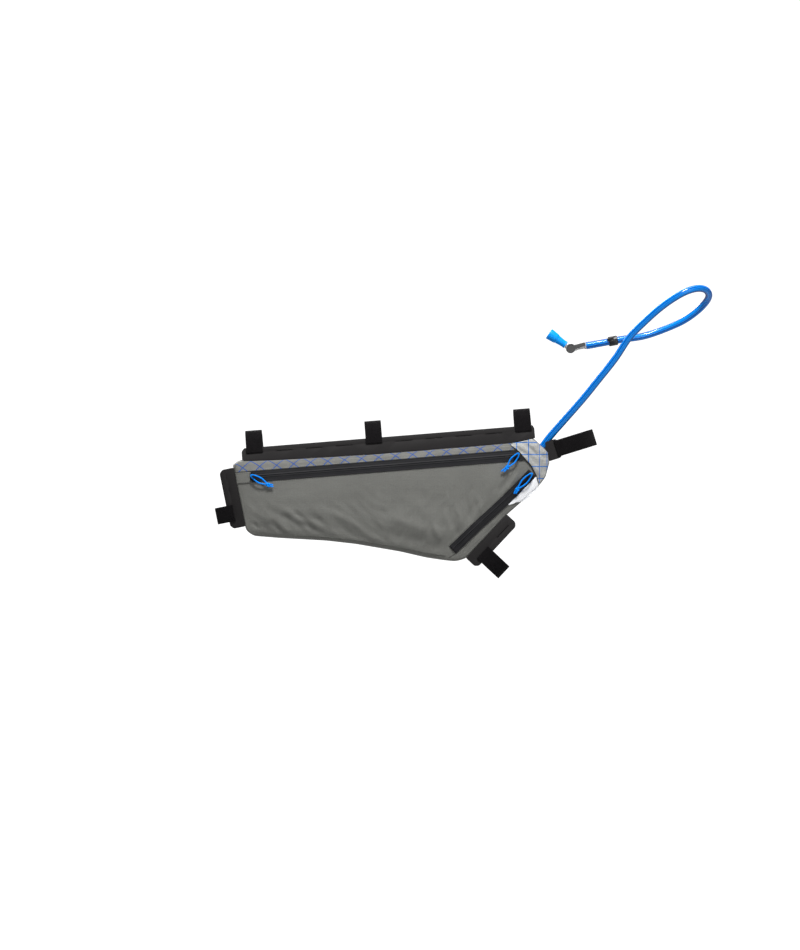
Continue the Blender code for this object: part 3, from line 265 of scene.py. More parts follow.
class Tree:
    """A node tree with short calls for adding and linking nodes."""

    def __init__(self, tree: bpy.types.NodeTree) -> None:
        """Keep the tree that the nodes go into."""
        self.tree = tree

    def add(self, kind: str, **settings: object) -> bpy.types.Node:
        """Add a node.

        Args:
            kind: the node's type.
            settings: properties to set on it.

        Returns:
            The node.
        """
        node = self.tree.nodes.new(kind)
        for name, value in settings.items():
            setattr(node, name, value)
        return node

    def feed(self, target: bpy.types.NodeSocket, source: object) -> None:
        """Link a socket to another, or set its value.

        Args:
            target: the input socket.
            source: an output socket, or a plain value.
        """
        if isinstance(source, bpy.types.NodeSocket):
            self.tree.links.new(source, target)
        else:
            target.default_value = source

    def math(self, operation: str, first: object, second: object = 0.0) -> bpy.types.NodeSocket:
        """Add a Math node.

        Args:
            operation: what it works out.
            first: its first value or socket.
            second: its second value or socket.

        Returns:
            Its output.
        """
        node = self.add("ShaderNodeMath", operation=operation)
        self.feed(node.inputs[0], first)
        self.feed(node.inputs[1], second)
        return node.outputs[0]

    def blend(self, share: object, first: object, second: object) -> bpy.types.NodeSocket:
        """Mix two colours.

        Args:
            share: how much of the second colour shows.
            first: a colour of four numbers, or a socket.
            second: the other colour.

        Returns:
            The mixed colour.
        """
        node = self.add("ShaderNodeMix", data_type="RGBA")
        self.feed(node.inputs[0], share)
        self.feed(node.inputs[6], first)
        self.feed(node.inputs[7], second)
        return node.outputs[2]

    def scale(self, colour: object, factor: object) -> bpy.types.NodeSocket:
        """Multiply a colour by a number.

        Args:
            colour: a colour of four numbers, or a socket.
            factor: the number or socket.

        Returns:
            The new colour.
        """
        node = self.add("ShaderNodeVectorMath", operation="SCALE")
        self.feed(node.inputs[0], colour if isinstance(colour, bpy.types.NodeSocket) else colour[:3])
        self.feed(node.inputs[3], factor)
        return node.outputs[0]

    def group(self, made: bpy.types.NodeTree, **values: object) -> bpy.types.Node:
        """Place a node group.

        Args:
            made: the group.
            values: its inputs by name, with underscores for spaces.

        Returns:
            The group's node.
        """
        node = self.add("ShaderNodeGroup", node_tree=made)
        for name, value in values.items():
            self.feed(node.inputs[name.replace("_", " ")], value)
        return node


def new_group(name: str, inputs: dict[str, str], outputs: dict[str, str]) -> tuple[Tree, bpy.types.Node]:
    """Start a shader node group.

    Args:
        name: the group's name.
        inputs: its inputs and their socket types.
        outputs: its outputs and their socket types.

    Returns:
        The tree to fill, and its input node.
    """
    made = bpy.data.node_groups.new(name, "ShaderNodeTree")
    for label, kind in inputs.items():
        made.interface.new_socket(label, in_out="INPUT", socket_type=kind)
    for label, kind in outputs.items():
        made.interface.new_socket(label, in_out="OUTPUT", socket_type=kind)
    tree = Tree(made)
    return tree, tree.add("NodeGroupInput")


class Effects:
    """Node groups that several finishes share, each built once."""

    grid_share = 0.13
    grid_rise = 0.8
    patch_detail = 3.0
    grain_detail = 2.0
    grain_share = 0.8

    def __init__(self) -> None:
        """Build the groups."""
        self.weave = self.build_weave()
        self.lines = self.build_lines()
        self.mottle = self.build_mottle()

    def build_weave(self) -> bpy.types.NodeTree:
        """Threads over and under each other, with stronger threads in a wide grid.

        Returns:
            The group: it puts out a shade near 1 and a height.
        """
        floats = {"Thread": "NodeSocketFloat", "Grid": "NodeSocketFloat", "Depth": "NodeSocketFloat"}
        tree, start = new_group(
            "Weave",
            {"Vector": "NodeSocketVector", **floats},
            {"Shade": "NodeSocketFloat", "Height": "NodeSocketFloat"},
        )
        parts = tree.add("ShaderNodeSeparateXYZ")
        tree.feed(parts.inputs[0], start.outputs["Vector"])
        waves = []
        ribs = []
        for axis in (0, 1):
            turns = tree.math("DIVIDE", parts.outputs[axis], start.outputs["Thread"])
            waves.append(tree.math("SINE", tree.math("MULTIPLY", turns, math.tau)))
            cell = tree.math("FRACT", tree.math("DIVIDE", parts.outputs[axis], start.outputs["Grid"]))
            ribs.append(tree.math("LESS_THAN", cell, self.grid_share))
        threads = tree.math("MULTIPLY", waves[0], waves[1])
        grid = tree.math("MAXIMUM", ribs[0], ribs[1])
        height = tree.math("ADD", threads, tree.math("MULTIPLY", grid, self.grid_rise))
        shade = tree.math("ADD", 1.0, tree.math("MULTIPLY", height, start.outputs["Depth"]))
        end = tree.add("NodeGroupOutput")
        tree.feed(end.inputs["Shade"], shade)
        tree.feed(end.inputs["Height"], height)
        return tree.tree

    def build_lines(self) -> bpy.types.NodeTree:
        """Thin lines in a square grid.

        Returns:
            The group: it puts out a mask.
        """
        tree, start = new_group(
            "Grid Lines",
            {"Vector": "NodeSocketVector", "Pitch": "NodeSocketFloat", "Width": "NodeSocketFloat"},
            {"Mask": "NodeSocketFloat"},
        )
        parts = tree.add("ShaderNodeSeparateXYZ")
        tree.feed(parts.inputs[0], start.outputs["Vector"])
        half_pitch = tree.math("MULTIPLY", start.outputs["Pitch"], 0.5)
        half_width = tree.math("MULTIPLY", start.outputs["Width"], 0.5)
        masks = []
        for axis in (0, 1):
            away = tree.math("PINGPONG", parts.outputs[axis], half_pitch)
            masks.append(tree.math("LESS_THAN", away, half_width))
        end = tree.add("NodeGroupOutput")
        tree.feed(end.inputs["Mask"], tree.math("MAXIMUM", masks[0], masks[1]))
        return tree.tree

    def build_mottle(self) -> bpy.types.NodeTree:
        """Soft uneven patches and fine grain.

        Returns:
            The group: it puts out a shade near 1 and a height.
        """
        floats = {"Patch": "NodeSocketFloat", "Grain": "NodeSocketFloat", "Amount": "NodeSocketFloat"}
        tree, start = new_group(
            "Mottle",
            {"Vector": "NodeSocketVector", **floats},
            {"Shade": "NodeSocketFloat", "Height": "NodeSocketFloat"},
        )
        values = []
        for name, detail in (("Patch", self.patch_detail), ("Grain", self.grain_detail)):
            cloud = tree.add("ShaderNodeTexNoise")
            tree.feed(cloud.inputs["Vector"], start.outputs["Vector"])
            tree.feed(cloud.inputs["Scale"], tree.math("DIVIDE", 1.0, start.outputs[name]))
            tree.feed(cloud.inputs["Detail"], detail)
            values.append(tree.math("SUBTRACT", cloud.outputs[0], 0.5))
        both = tree.math("ADD", values[0], tree.math("MULTIPLY", values[1], self.grain_share))
        shade = tree.math("ADD", 1.0, tree.math("MULTIPLY", both, start.outputs["Amount"]))
        end = tree.add("NodeGroupOutput")
        tree.feed(end.inputs["Shade"], shade)
        tree.feed(end.inputs["Height"], values[1])
        return tree.tree


class Dresser:
    """A material being built: its tree, its shader and the pattern coordinates."""

    def __init__(self, name: str, from_uv: bool) -> None:
        """Start a material.

        Args:
            name: the material's name.
            from_uv: patterns follow the piece's own map instead of its place in space.
        """
        self.material = bpy.data.materials.new(name)
        self.material.use_nodes = True
        self.tree = Tree(self.material.node_tree)
        self.shader = self.material.node_tree.nodes["Principled BSDF"]
        if from_uv:
            place = self.tree.add("ShaderNodeUVMap", uv_map=UV_NAME)
            self.place = place.outputs[0]
        else:
            place = self.tree.add("ShaderNodeTexCoord")
            self.place = place.outputs["Object"]

    def turned(self, angle: float, shift: tuple[float, float]) -> bpy.types.NodeSocket:
        """Pattern coordinates turned and shifted.

        Args:
            angle: the turn, in radians.
            shift: the shift after the turn, in metres.

        Returns:
            The new coordinates.
        """
        mapping = self.tree.add("ShaderNodeMapping")
        self.tree.feed(mapping.inputs["Vector"], self.place)
        mapping.inputs["Rotation"].default_value = (0.0, 0.0, angle)
        mapping.inputs["Location"].default_value = (*shift, 0.0)
        return mapping.outputs[0]

    def colour(self, source: object) -> None:
        """Set or link the base colour."""
        if isinstance(source, bpy.types.NodeSocket):
            self.tree.feed(self.shader.inputs["Base Color"], source)
        else:
            self.shader.inputs["Base Color"].default_value = (*source, 1.0)

    def set(self, **values: object) -> None:
        """Set plain values on the shader's own sockets."""
        for name, value in values.items():
            self.shader.inputs[name.replace("_", " ")].default_value = value

    def mottled(self, effects: Effects, patch: float, grain: float, amount: float) -> bpy.types.Node:
        """Lay the uneven patches and the grain over the material.

        Args:
            effects: the shared node groups.
            patch: the patches' size in metres.
            grain: the grain's size in metres.
            amount: how strong both are.

        Returns:
            The group's node, with a shade and a height.
        """
        return self.tree.group(effects.mottle, Vector=self.place, Patch=patch, Grain=grain, Amount=amount)

    def relief(self, height: bpy.types.NodeSocket, distance: float, strength: float = 1.0) -> None:
        """Add bump.

        Args:
            height: the relief.
            distance: its depth in metres.
            strength: its share that shows.
        """
        bump = self.tree.add("ShaderNodeBump")
        bump.inputs["Distance"].default_value = distance
        bump.inputs["Strength"].default_value = strength
        self.tree.feed(bump.inputs["Height"], height)
        self.tree.feed(self.shader.inputs["Normal"], bump.outputs[0])


class Finish(Protocol):
    """What every finish has: a name, and a way to build its material."""

    @property
    def name(self) -> str:
        """The material's name."""

    def build(self, effects: Effects) -> bpy.types.Material:
        """Build the material."""


@dataclass(frozen=True)
class ClothFinish:
    """A woven fabric, which may have lines printed or woven in."""

    name: str
    colour: Colour
    roughness: float = 0.62
    thread: float = 0.0007
    grid: float = 0.0062
    depth: float = 0.022
    patch: float = 0.045
    grain: float = 0.0024
    grain_rise: float = 2.0
    amount: float = 0.26
    relief: float = 0.00006
    sheen: float = 0.12
    sheen_roughness: float = 0.5
    specular: float = 0.3
    line_colour: Colour | None = None
    line_pitch: float = 0.018
    line_width: float = 0.0015
    line_turn: float = 0.0
    line_shift: tuple[float, float] = (0.0, 0.0)

    def build(self, effects: Effects) -> bpy.types.Material:
        """Build the material.

        Args:
            effects: the shared node groups.

        Returns:
            The material.
        """
        made = Dresser(self.name, from_uv=True)
        tree = made.tree
        weave = tree.group(
            effects.weave, Vector=made.place, Thread=self.thread, Grid=self.grid, Depth=self.depth
        )
        cloud = made.mottled(effects, self.patch, self.grain, self.amount)
        shade = tree.math("MULTIPLY", weave.outputs["Shade"], cloud.outputs["Shade"])
        colour = tree.scale((*self.colour, 1.0), shade)
        if self.line_colour is not None:
            place = made.turned(self.line_turn, self.line_shift)
            lines = tree.group(effects.lines, Vector=place, Pitch=self.line_pitch, Width=self.line_width)
            thread = tree.scale((*self.line_colour, 1.0), weave.outputs["Shade"])
            colour = tree.blend(lines.outputs["Mask"], colour, thread)
        made.colour(colour)
        grain = tree.math("MULTIPLY", cloud.outputs["Height"], self.grain_rise)
        made.relief(tree.math("ADD", weave.outputs["Height"], grain), self.relief)
        made.set(Roughness=self.roughness, Specular_IOR_Level=self.specular)
        made.set(Sheen_Weight=self.sheen, Sheen_Roughness=self.sheen_roughness)
        return made.material


@dataclass(frozen=True)
class MouldedFinish:
    """Moulded plastic, rubber or enamelled metal, with fine grain and uneven gloss."""

    name: str
    colour: Colour
    roughness: float
    patch: float = 0.02
    grain: float = 0.0009
    amount: float = 0.15
    relief: float = 0.00003
    metallic: float = 0.0
    coat: float = 0.0
    transmission: float = 0.0
    subsurface: float = 0.0
    scatter_scale: float = 0.004
    scatter: Colour = (0.4, 0.7, 1.0)
    specular: float = 0.5

    def build(self, effects: Effects) -> bpy.types.Material:
        """Build the material.

        Args:
            effects: the shared node groups.

        Returns:
            The material.
        """
        made = Dresser(self.name, from_uv=False)
        tree = made.tree
        cloud = made.mottled(effects, self.patch, self.grain, self.amount)
        made.colour(tree.scale((*self.colour, 1.0), cloud.outputs["Shade"]))
        uneven = tree.math("MULTIPLY", cloud.outputs["Shade"], self.roughness)
        tree.feed(made.shader.inputs["Roughness"], uneven)
        made.relief(cloud.outputs["Height"], self.relief)
        made.set(Metallic=self.metallic, Coat_Weight=self.coat, Transmission_Weight=self.transmission)
        made.set(Specular_IOR_Level=self.specular)
        if self.subsurface:
            made.set(Subsurface_Weight=self.subsurface, Subsurface_Scale=self.scatter_scale)
            made.set(Subsurface_Radius=self.scatter)
        return made.material


@dataclass(frozen=True)
class FuzzFinish:
    """Hook-and-loop strap: a dark pile of tiny loops that scatters light."""

    name: str
    colour: Colour
    loop: float = 0.0011
    brightest: float = 1.35
    patch: float = 0.006
    amount: float = 0.9
    relief: float = 0.0007
    strength: float = 0.8
    roughness: float = 0.95
    specular: float = 0.1
    sheen: float = 0.02
    sheen_roughness: float = 0.6

    def build(self, effects: Effects) -> bpy.types.Material:
        """Build the material.

        Args:
            effects: the shared node groups.

        Returns:
            The material.
        """
        made = Dresser(self.name, from_uv=False)
        tree = made.tree
        cells = tree.add("ShaderNodeTexVoronoi", feature="F1")
        tree.feed(cells.inputs["Vector"], made.place)
        cells.inputs["Scale"].default_value = 1.0 / self.loop
        cloud = made.mottled(effects, self.patch, self.loop, self.amount)
        dark = tree.math("SUBTRACT", self.brightest, cells.outputs["Distance"])
        shade = tree.math("MULTIPLY", dark, cloud.outputs["Shade"])
        made.colour(tree.scale((*self.colour, 1.0), shade))
        pits = tree.math("MULTIPLY", cells.outputs["Distance"], -1.0)
        made.relief(pits, self.relief, self.strength)
        made.set(Roughness=self.roughness, Specular_IOR_Level=self.specular)
        made.set(Sheen_Weight=self.sheen, Sheen_Roughness=self.sheen_roughness)
        return made.material


@dataclass(frozen=True)
class CordFinish:
    """Braided cord: strands wound both ways round it, read from its own map."""

    name: str
    colour: Colour
    strand: float = 0.0016
    winding: float = math.radians(45.0)
    grid: float = 1.0
    depth: float = 0.18
    patch: float = 0.01
    grain: float = 0.0008
    amount: float = 0.2
    relief: float = 0.00015
    roughness: float = 0.65
    specular: float = 0.12

    def build(self, effects: Effects) -> bpy.types.Material:
        """Build the material.

        Args:
            effects: the shared node groups.

        Returns:
            The material.
        """
        made = Dresser(self.name, from_uv=True)
        tree = made.tree
        place = made.turned(self.winding, (0.0, 0.0))
        weave = tree.group(effects.weave, Vector=place, Thread=self.strand, Grid=self.grid, Depth=self.depth)
        cloud = made.mottled(effects, self.patch, self.grain, self.amount)
        shade = tree.math("MULTIPLY", weave.outputs["Shade"], cloud.outputs["Shade"])
        made.colour(tree.scale((*self.colour, 1.0), shade))
        made.relief(weave.outputs["Height"], self.relief)
        made.set(Roughness=self.roughness, Specular_IOR_Level=self.specular)
        return made.material


@dataclass(frozen=True)
class ZipFinish:
    """Coated zip tape: fine ribs along it, with painted light on their crests and painted shade between
    them, and teeth under the coating.
    """

    name: str
    colour: Colour
    rib: float = 0.0041
    rib_rise: float = 0.5
    rib_painted_light: float = 0.25
    tooth: float = 0.0015
    tooth_rise: float = 0.35
    teeth_reach: float = 0.0026
    patch: float = 0.06
    grain: float = 0.0018
    amount: float = 0.2
    relief: float = 0.00012
    roughness: float = 0.62
    specular: float = 0.14

    def build(self, effects: Effects) -> bpy.types.Material:
        """Build the material.

        Args:
            effects: the shared node groups.

        Returns:
            The material.
        """
        made = Dresser(self.name, from_uv=True)
        tree = made.tree
        parts = tree.add("ShaderNodeSeparateXYZ")
        tree.feed(parts.inputs[0], made.place)
        across = tree.math("SINE", tree.math("MULTIPLY", parts.outputs[1], math.tau / self.rib))
        along = tree.math("SINE", tree.math("MULTIPLY", parts.outputs[0], math.tau / self.tooth))
        middle = tree.math("LESS_THAN", tree.math("ABSOLUTE", parts.outputs[1]), self.teeth_reach)
        teeth = tree.math("MULTIPLY", tree.math("MULTIPLY", along, middle), self.tooth_rise)
        ribs = tree.math("MULTIPLY", across, self.rib_rise)
        cloud = made.mottled(effects, self.patch, self.grain, self.amount)
        # Painted light and shade: the colour is lighter on the ribs' crests and darker between them, in step
        # with their bump.
        painted_rib_light = tree.math("ADD", 1.0, tree.math("MULTIPLY", across, self.rib_painted_light))
        shade = tree.math("MULTIPLY", painted_rib_light, cloud.outputs["Shade"])
        made.colour(tree.scale((*self.colour, 1.0), shade))
        made.relief(tree.math("ADD", ribs, teeth), self.relief)
        made.set(Roughness=self.roughness, Specular_IOR_Level=self.specular)
        return made.material


@dataclass(frozen=True)
class PaintedBand:
    """A colour of the tube at a share of its width, part of its painted light and shade."""

    across: float
    colour: Colour


@dataclass(frozen=True)
class TubeFinish:
    """Blue flexible tube, with long light and dark bands painted along it: painted highlights and painted
    shade, dark at its edges, standing in for the light that its thick wall bends.
    """

    name: str
    radius: float = 0.00525
    patch: float = 0.03
    grain: float = 0.004
    amount: float = 0.22
    relief: float = 0.00003
    roughness: float = 0.2
    specular: float = 0.2
    coat: float = 0.35
    coat_roughness: float = 0.05
    painted_bands: tuple[PaintedBand, ...] = (
        PaintedBand(0.00, (0.000, 0.025, 0.180)),
        PaintedBand(0.10, (0.000, 0.080, 0.400)),
        PaintedBand(0.20, (0.000, 0.200, 0.720)),
        PaintedBand(0.36, (0.000, 0.235, 0.800)),
        PaintedBand(0.43, (0.000, 0.045, 0.260)),
        PaintedBand(0.52, (0.000, 0.065, 0.330)),
        PaintedBand(0.60, (0.000, 0.195, 0.700)),
        PaintedBand(0.76, (0.000, 0.280, 0.860)),
        PaintedBand(0.90, (0.000, 0.110, 0.460)),
        PaintedBand(1.00, (0.000, 0.030, 0.200)),
    )

    def build(self, effects: Effects) -> bpy.types.Material:
        """Build the material.

        Args:
            effects: the shared node groups.

        Returns:
            The material.
        """
        made = Dresser(self.name, from_uv=True)
        tree = made.tree
        parts = tree.add("ShaderNodeSeparateXYZ")
        tree.feed(parts.inputs[0], made.place)
        # Painted light and shade: round the tube from its outward side, the colour runs from a dark middle
        # line through bright painted highlights to dark painted edges.
        turn = tree.math("SINE", tree.math("DIVIDE", parts.outputs[1], self.radius))
        across = tree.math("MULTIPLY", tree.math("ADD", turn, 1.0), 0.5)
        painted_stripes = tree.add("ShaderNodeValToRGB")
        ramp_points = painted_stripes.color_ramp.elements
        while len(ramp_points) < len(self.painted_bands):
            ramp_points.new(1.0)
        for point, band in zip(ramp_points, self.painted_bands):
            point.position = band.across
            point.color = (*band.colour, 1.0)
        tree.feed(painted_stripes.inputs[0], across)
        cloud = made.mottled(effects, self.patch, self.grain, self.amount)
        made.colour(tree.scale(painted_stripes.outputs[0], cloud.outputs["Shade"]))
        made.relief(cloud.outputs["Height"], self.relief)
        made.set(Roughness=self.roughness, Specular_IOR_Level=self.specular)
        made.set(Coat_Weight=self.coat, Coat_Roughness=self.coat_roughness)
        return made.material


SAGE = ClothFinish("sage_ripstop", (0.134, 0.135, 0.124))
BAND = ClothFinish(
    "lattice_ripstop",
    (0.163, 0.164, 0.153),
    amount=0.5,
    patch=0.012,
    line_colour=(0.004, 0.065, 0.30),
    line_pitch=0.01807,
    line_width=0.0014,
    line_turn=math.radians(45.0),
)
CORNER = ClothFinish(
    "pale_grid_ripstop",
    (0.318, 0.320, 0.308),
    roughness=0.36,
    specular=0.5,
    amount=0.7,
    patch=0.014,
    line_colour=(0.006, 0.11, 0.40),
    line_pitch=0.018,
    line_width=0.0015,
)
WHITE = ClothFinish("white_ripstop", (0.82, 0.83, 0.85), roughness=0.5, amount=0.05)
ZIP = ZipFinish("coated_zip", (0.0155, 0.0155, 0.0172))
ENAMEL = MouldedFinish("black_enamel", (0.02, 0.02, 0.02), 0.3, metallic=0.6)
PULL_CORD = CordFinish("blue_braid", (0.0, 0.21, 0.78))
RUBBER = MouldedFinish(
    "coated_flange", (0.0145, 0.0133, 0.0136), 0.75, amount=0.35, relief=0.00008, specular=0.2
)
STRAP = FuzzFinish("loop_strap", (0.0044, 0.0037, 0.0043))
TUBE = TubeFinish("blue_tube")
BLACK_PLASTIC = MouldedFinish("black_plastic", (0.008, 0.008, 0.008), 0.38, specular=0.4)
DARK_PLASTIC = MouldedFinish("dark_plastic", (0.052, 0.052, 0.052), 0.5)
CLEAR_PLASTIC = MouldedFinish(
    "clear_plastic", (0.60, 0.60, 0.59), 0.16, amount=0.05, transmission=0.1, coat=0.4
)
SILICONE = MouldedFinish(
    "blue_silicone", (0.0, 0.30, 0.88), 0.4, amount=0.08, subsurface=0.1, specular=0.2
)
THREADS = {
    SeamTone.PALE: MouldedFinish(SeamTone.PALE.value, (0.30, 0.30, 0.28), 0.7),
    SeamTone.GREY: MouldedFinish(SeamTone.GREY.value, (0.060, 0.062, 0.054), 0.7),
    SeamTone.DARK: MouldedFinish(SeamTone.DARK.value, (0.010, 0.010, 0.010), 0.8, specular=0.2),
}


class Wardrobe:
    """All finishes as materials, each built when it is first asked for."""

    def __init__(self) -> None:
        """Start with the shared node groups and no materials."""
        self.effects = Effects()
        self.made: dict[str, bpy.types.Material] = {}

    def get(self, finish: Finish) -> bpy.types.Material:
        """The material of a finish.

        Args:
            finish: one of the finishes above.

        Returns:
            Its material.
        """
        if finish.name not in self.made:
            self.made[finish.name] = finish.build(self.effects)
        return self.made[finish.name]


def lattice(points: Rows, marks: Marks) -> Mesh:
    """A grid bent to rows of points.

    Args:
        points: the rows, all of one length.
        marks: the map coordinates of each point, in metres.

    Returns:
        The mesh.
    """
    rows, columns = len(points) - 1, len(points[0]) - 1
    edit = bmesh.new()
    layer = edit.loops.layers.uv.new(UV_NAME)
    bmesh.ops.create_grid(edit, x_segments=rows, y_segments=columns, size=1.0)
    spots = {
        vert: (round((vert.co.x + 1.0) * rows / 2.0), round((vert.co.y + 1.0) * columns / 2.0))
        for vert in edit.verts
    }
    for face in edit.faces:
        for loop in face.loops:
            i, k = spots[loop.vert]
            loop[layer].uv = marks[i][k]
    for vert, (i, k) in spots.items():
        vert.co = points[i][k]
    return edit


def close_ends(edit: Mesh) -> None:
    """Fill the open ends of a tube and turn its faces outwards."""
    rims = [edge for edge in edit.edges if edge.is_boundary]
    bmesh.ops.holes_fill(edit, edges=rims, sides=0)
    bmesh.ops.recalc_face_normals(edit, faces=edit.faces)


def sweep(path: list[Vector], radii: list[float], sides: int, facing: Vector | None = None) -> Mesh:
    """A round cord along a path.

    Args:
        path: the points of its middle line.
        radii: its radius at each of them.
        sides: how many sides it has.
        facing: where its map starts round it, all along, if that matters.

    Returns:
        The closed mesh, mapped in metres along and round it.
    """
    across = None
    points, marks = [], []
    run_length = 0.0
    for i, (spot, radius) in enumerate(zip(path, radii)):
        run = (path[min(i + 1, len(path) - 1)] - path[max(i - 1, 0)]).normalized()
        if across is None:
            across = run.orthogonal()
        if facing is not None:
            across = facing
        across = (across - run * across.dot(run)).normalized()
        up = run.cross(across)
        run_length += (spot - path[i - 1]).length if i else 0.0
        turns = [math.tau * k / sides for k in range(sides + 1)]
        points.append([spot + (across * math.cos(a) + up * math.sin(a)) * radius for a in turns])
        marks.append([(run_length, a * max(radii)) for a in turns])
    edit = lattice(points, marks)
    bmesh.ops.remove_doubles(edit, verts=edit.verts, dist=1e-6)
    close_ends(edit)
    return edit


def spun(profile: list[Mark], steps: int, merging: float) -> Mesh:
    """A profile turned once round the vertical axis.

    Args:
        profile: radius and height pairs.
        steps: how many sides it has.
        merging: points closer than this are joined.

    Returns:
        The mesh, still open at its ends.
    """
    edit = bmesh.new()
    verts = [edit.verts.new((radius, 0.0, height)) for radius, height in profile]
    edges = [edit.edges.new(pair) for pair in zip(verts, verts[1:])]
    bmesh.ops.spin(
        edit,
        geom=verts + edges,
        cent=(0.0, 0.0, 0.0),
        axis=(0.0, 0.0, 1.0),
        dvec=(0.0, 0.0, 0.0),
        angle=math.tau,
        steps=steps,
        use_merge=True,
        use_duplicate=False,
    )
    bmesh.ops.remove_doubles(edit, verts=edit.verts, dist=merging)
    return edit


def turned(profile: list[Mark], base: Vector, axis: Vector, steps: int) -> Mesh:
    """A turned solid.

    Args:
        profile: radius and height pairs, from one end of its wall to the other.
        base: where height 0 lies.
        axis: the direction of its height.
        steps: how many sides it has.

    Returns:
        The mesh.
    """
    edit = spun(profile, steps, 1e-6)
    edit.loops.layers.uv.new(UV_NAME)
    close_ends(edit)
    turn = Vector((0.0, 0.0, 1.0)).rotation_difference(axis).to_matrix().to_4x4()
    bmesh.ops.transform(edit, matrix=Matrix.Translation(base) @ turn, verts=edit.verts)
    return edit


def smooth_line(knots: list[Vector], steps: int) -> list[Vector]:
    """Points along a smooth curve through chosen ones.

    Args:
        knots: the chosen points.
        steps: how many points each stretch gets.

    Returns:
        The curve's points.
    """
    fine = []
    for i in range(len(knots) - 1):
        start, end = knots[i], knots[i + 1]
        before, after = knots[max(i - 1, 0)], knots[min(i + 2, len(knots) - 1)]
        handle_out = start + (end - before) / 6.0
        handle_in = end - (after - start) / 6.0
        fine += interpolate_bezier(start, handle_out, handle_in, end, steps + 1)[:-1]
    return fine + [knots[-1]]


def even_line(points: list[Vector], count: int) -> list[Vector]:
    """Points at even steps along a line.

    Args:
        points: the line.
        count: how many points to give.

    Returns:
        The new points.
    """
    lengths = [0.0]
    for start, end in zip(points, points[1:]):
        lengths.append(lengths[-1] + (end - start).length)
    even = []
    k = 0
    for i in range(count):
        goal = lengths[-1] * i / (count - 1)
        while k < len(points) - 2 and lengths[k + 1] < goal:
            k += 1
        share = (goal - lengths[k]) / max(lengths[k + 1] - lengths[k], 1e-9)
        even.append(points[k].lerp(points[k + 1], share))
    return even


def line_length(line: list[Vector]) -> float:
    """Length of a line through points."""
    return sum((end - start).length for start, end in zip(line, line[1:]))


def side_normal(line: list[Vector], i: int) -> Vector:
    """The unit vector square to a line in the side view, at one of its points."""
    run = (line[min(i + 1, len(line) - 1)] - line[max(i - 1, 0)]).normalized()
    return Vector((-run.y, run.x))


def place_on(line: list[Vector], share: float) -> tuple[Vector, Vector]:
    """A place on a line in the side view.

    Args:
        line: the line.
        share: how far along it, from 0 to 1.

    Returns:
        The point, and the unit vector square to the line there.
    """
    exact = share * (len(line) - 1)
    k = min(int(exact), len(line) - 2)
    return line[k].lerp(line[k + 1], exact - k), side_normal(line, k)


def spread(start: float, end: float, count: int) -> list[float]:
    """Evenly spaced values from start to end."""
    return [start + (end - start) * i / (count - 1) for i in range(count)]


def ramp(value: float, low: float, high: float) -> float:
    """A smooth step from 0 at low to 1 at high."""
    share = min(1.0, max(0.0, (value - low) / (high - low)))
    return share * share * (3.0 - 2.0 * share)


def face_out(edit: Mesh) -> None:
    """Turn an open surface's faces to the near side."""
    edit.normal_update()
    if sum(face.normal.y * face.calc_area() for face in edit.faces) > 0.0:
        bmesh.ops.reverse_faces(edit, faces=edit.faces)


def merge_into(edit: Mesh, other: Mesh) -> None:
    """Add another mesh to one being built, and free it."""
    spare = bpy.data.meshes.new("spare")
    other.to_mesh(spare)
    other.free()
    edit.from_mesh(spare)
    bpy.data.meshes.remove(spare)


def sharp_edges(edit: Mesh, degrees: float) -> Edges:
    """Edges where two faces meet at more than an angle."""
    limit = math.radians(degrees)
    return [edge for edge in edit.edges if len(edge.link_faces) == 2 and edge.calc_face_angle() > limit]


def round_edges(edit: Mesh, edges: Edges, offset: float, segments: int) -> None:
    """Bevel chosen edges.

    Args:
        edit: the mesh.
        edges: its edges to round.
        offset: how far back from each edge the rounding starts.
        segments: how many faces it has.
    """
    bmesh.ops.bevel(
        edit,
        geom=edges,
        offset=offset,
        offset_type="OFFSET",
        segments=segments,
        profile=0.5,
        affect="EDGES",
        material=-1,
        clamp_overlap=True,
    )


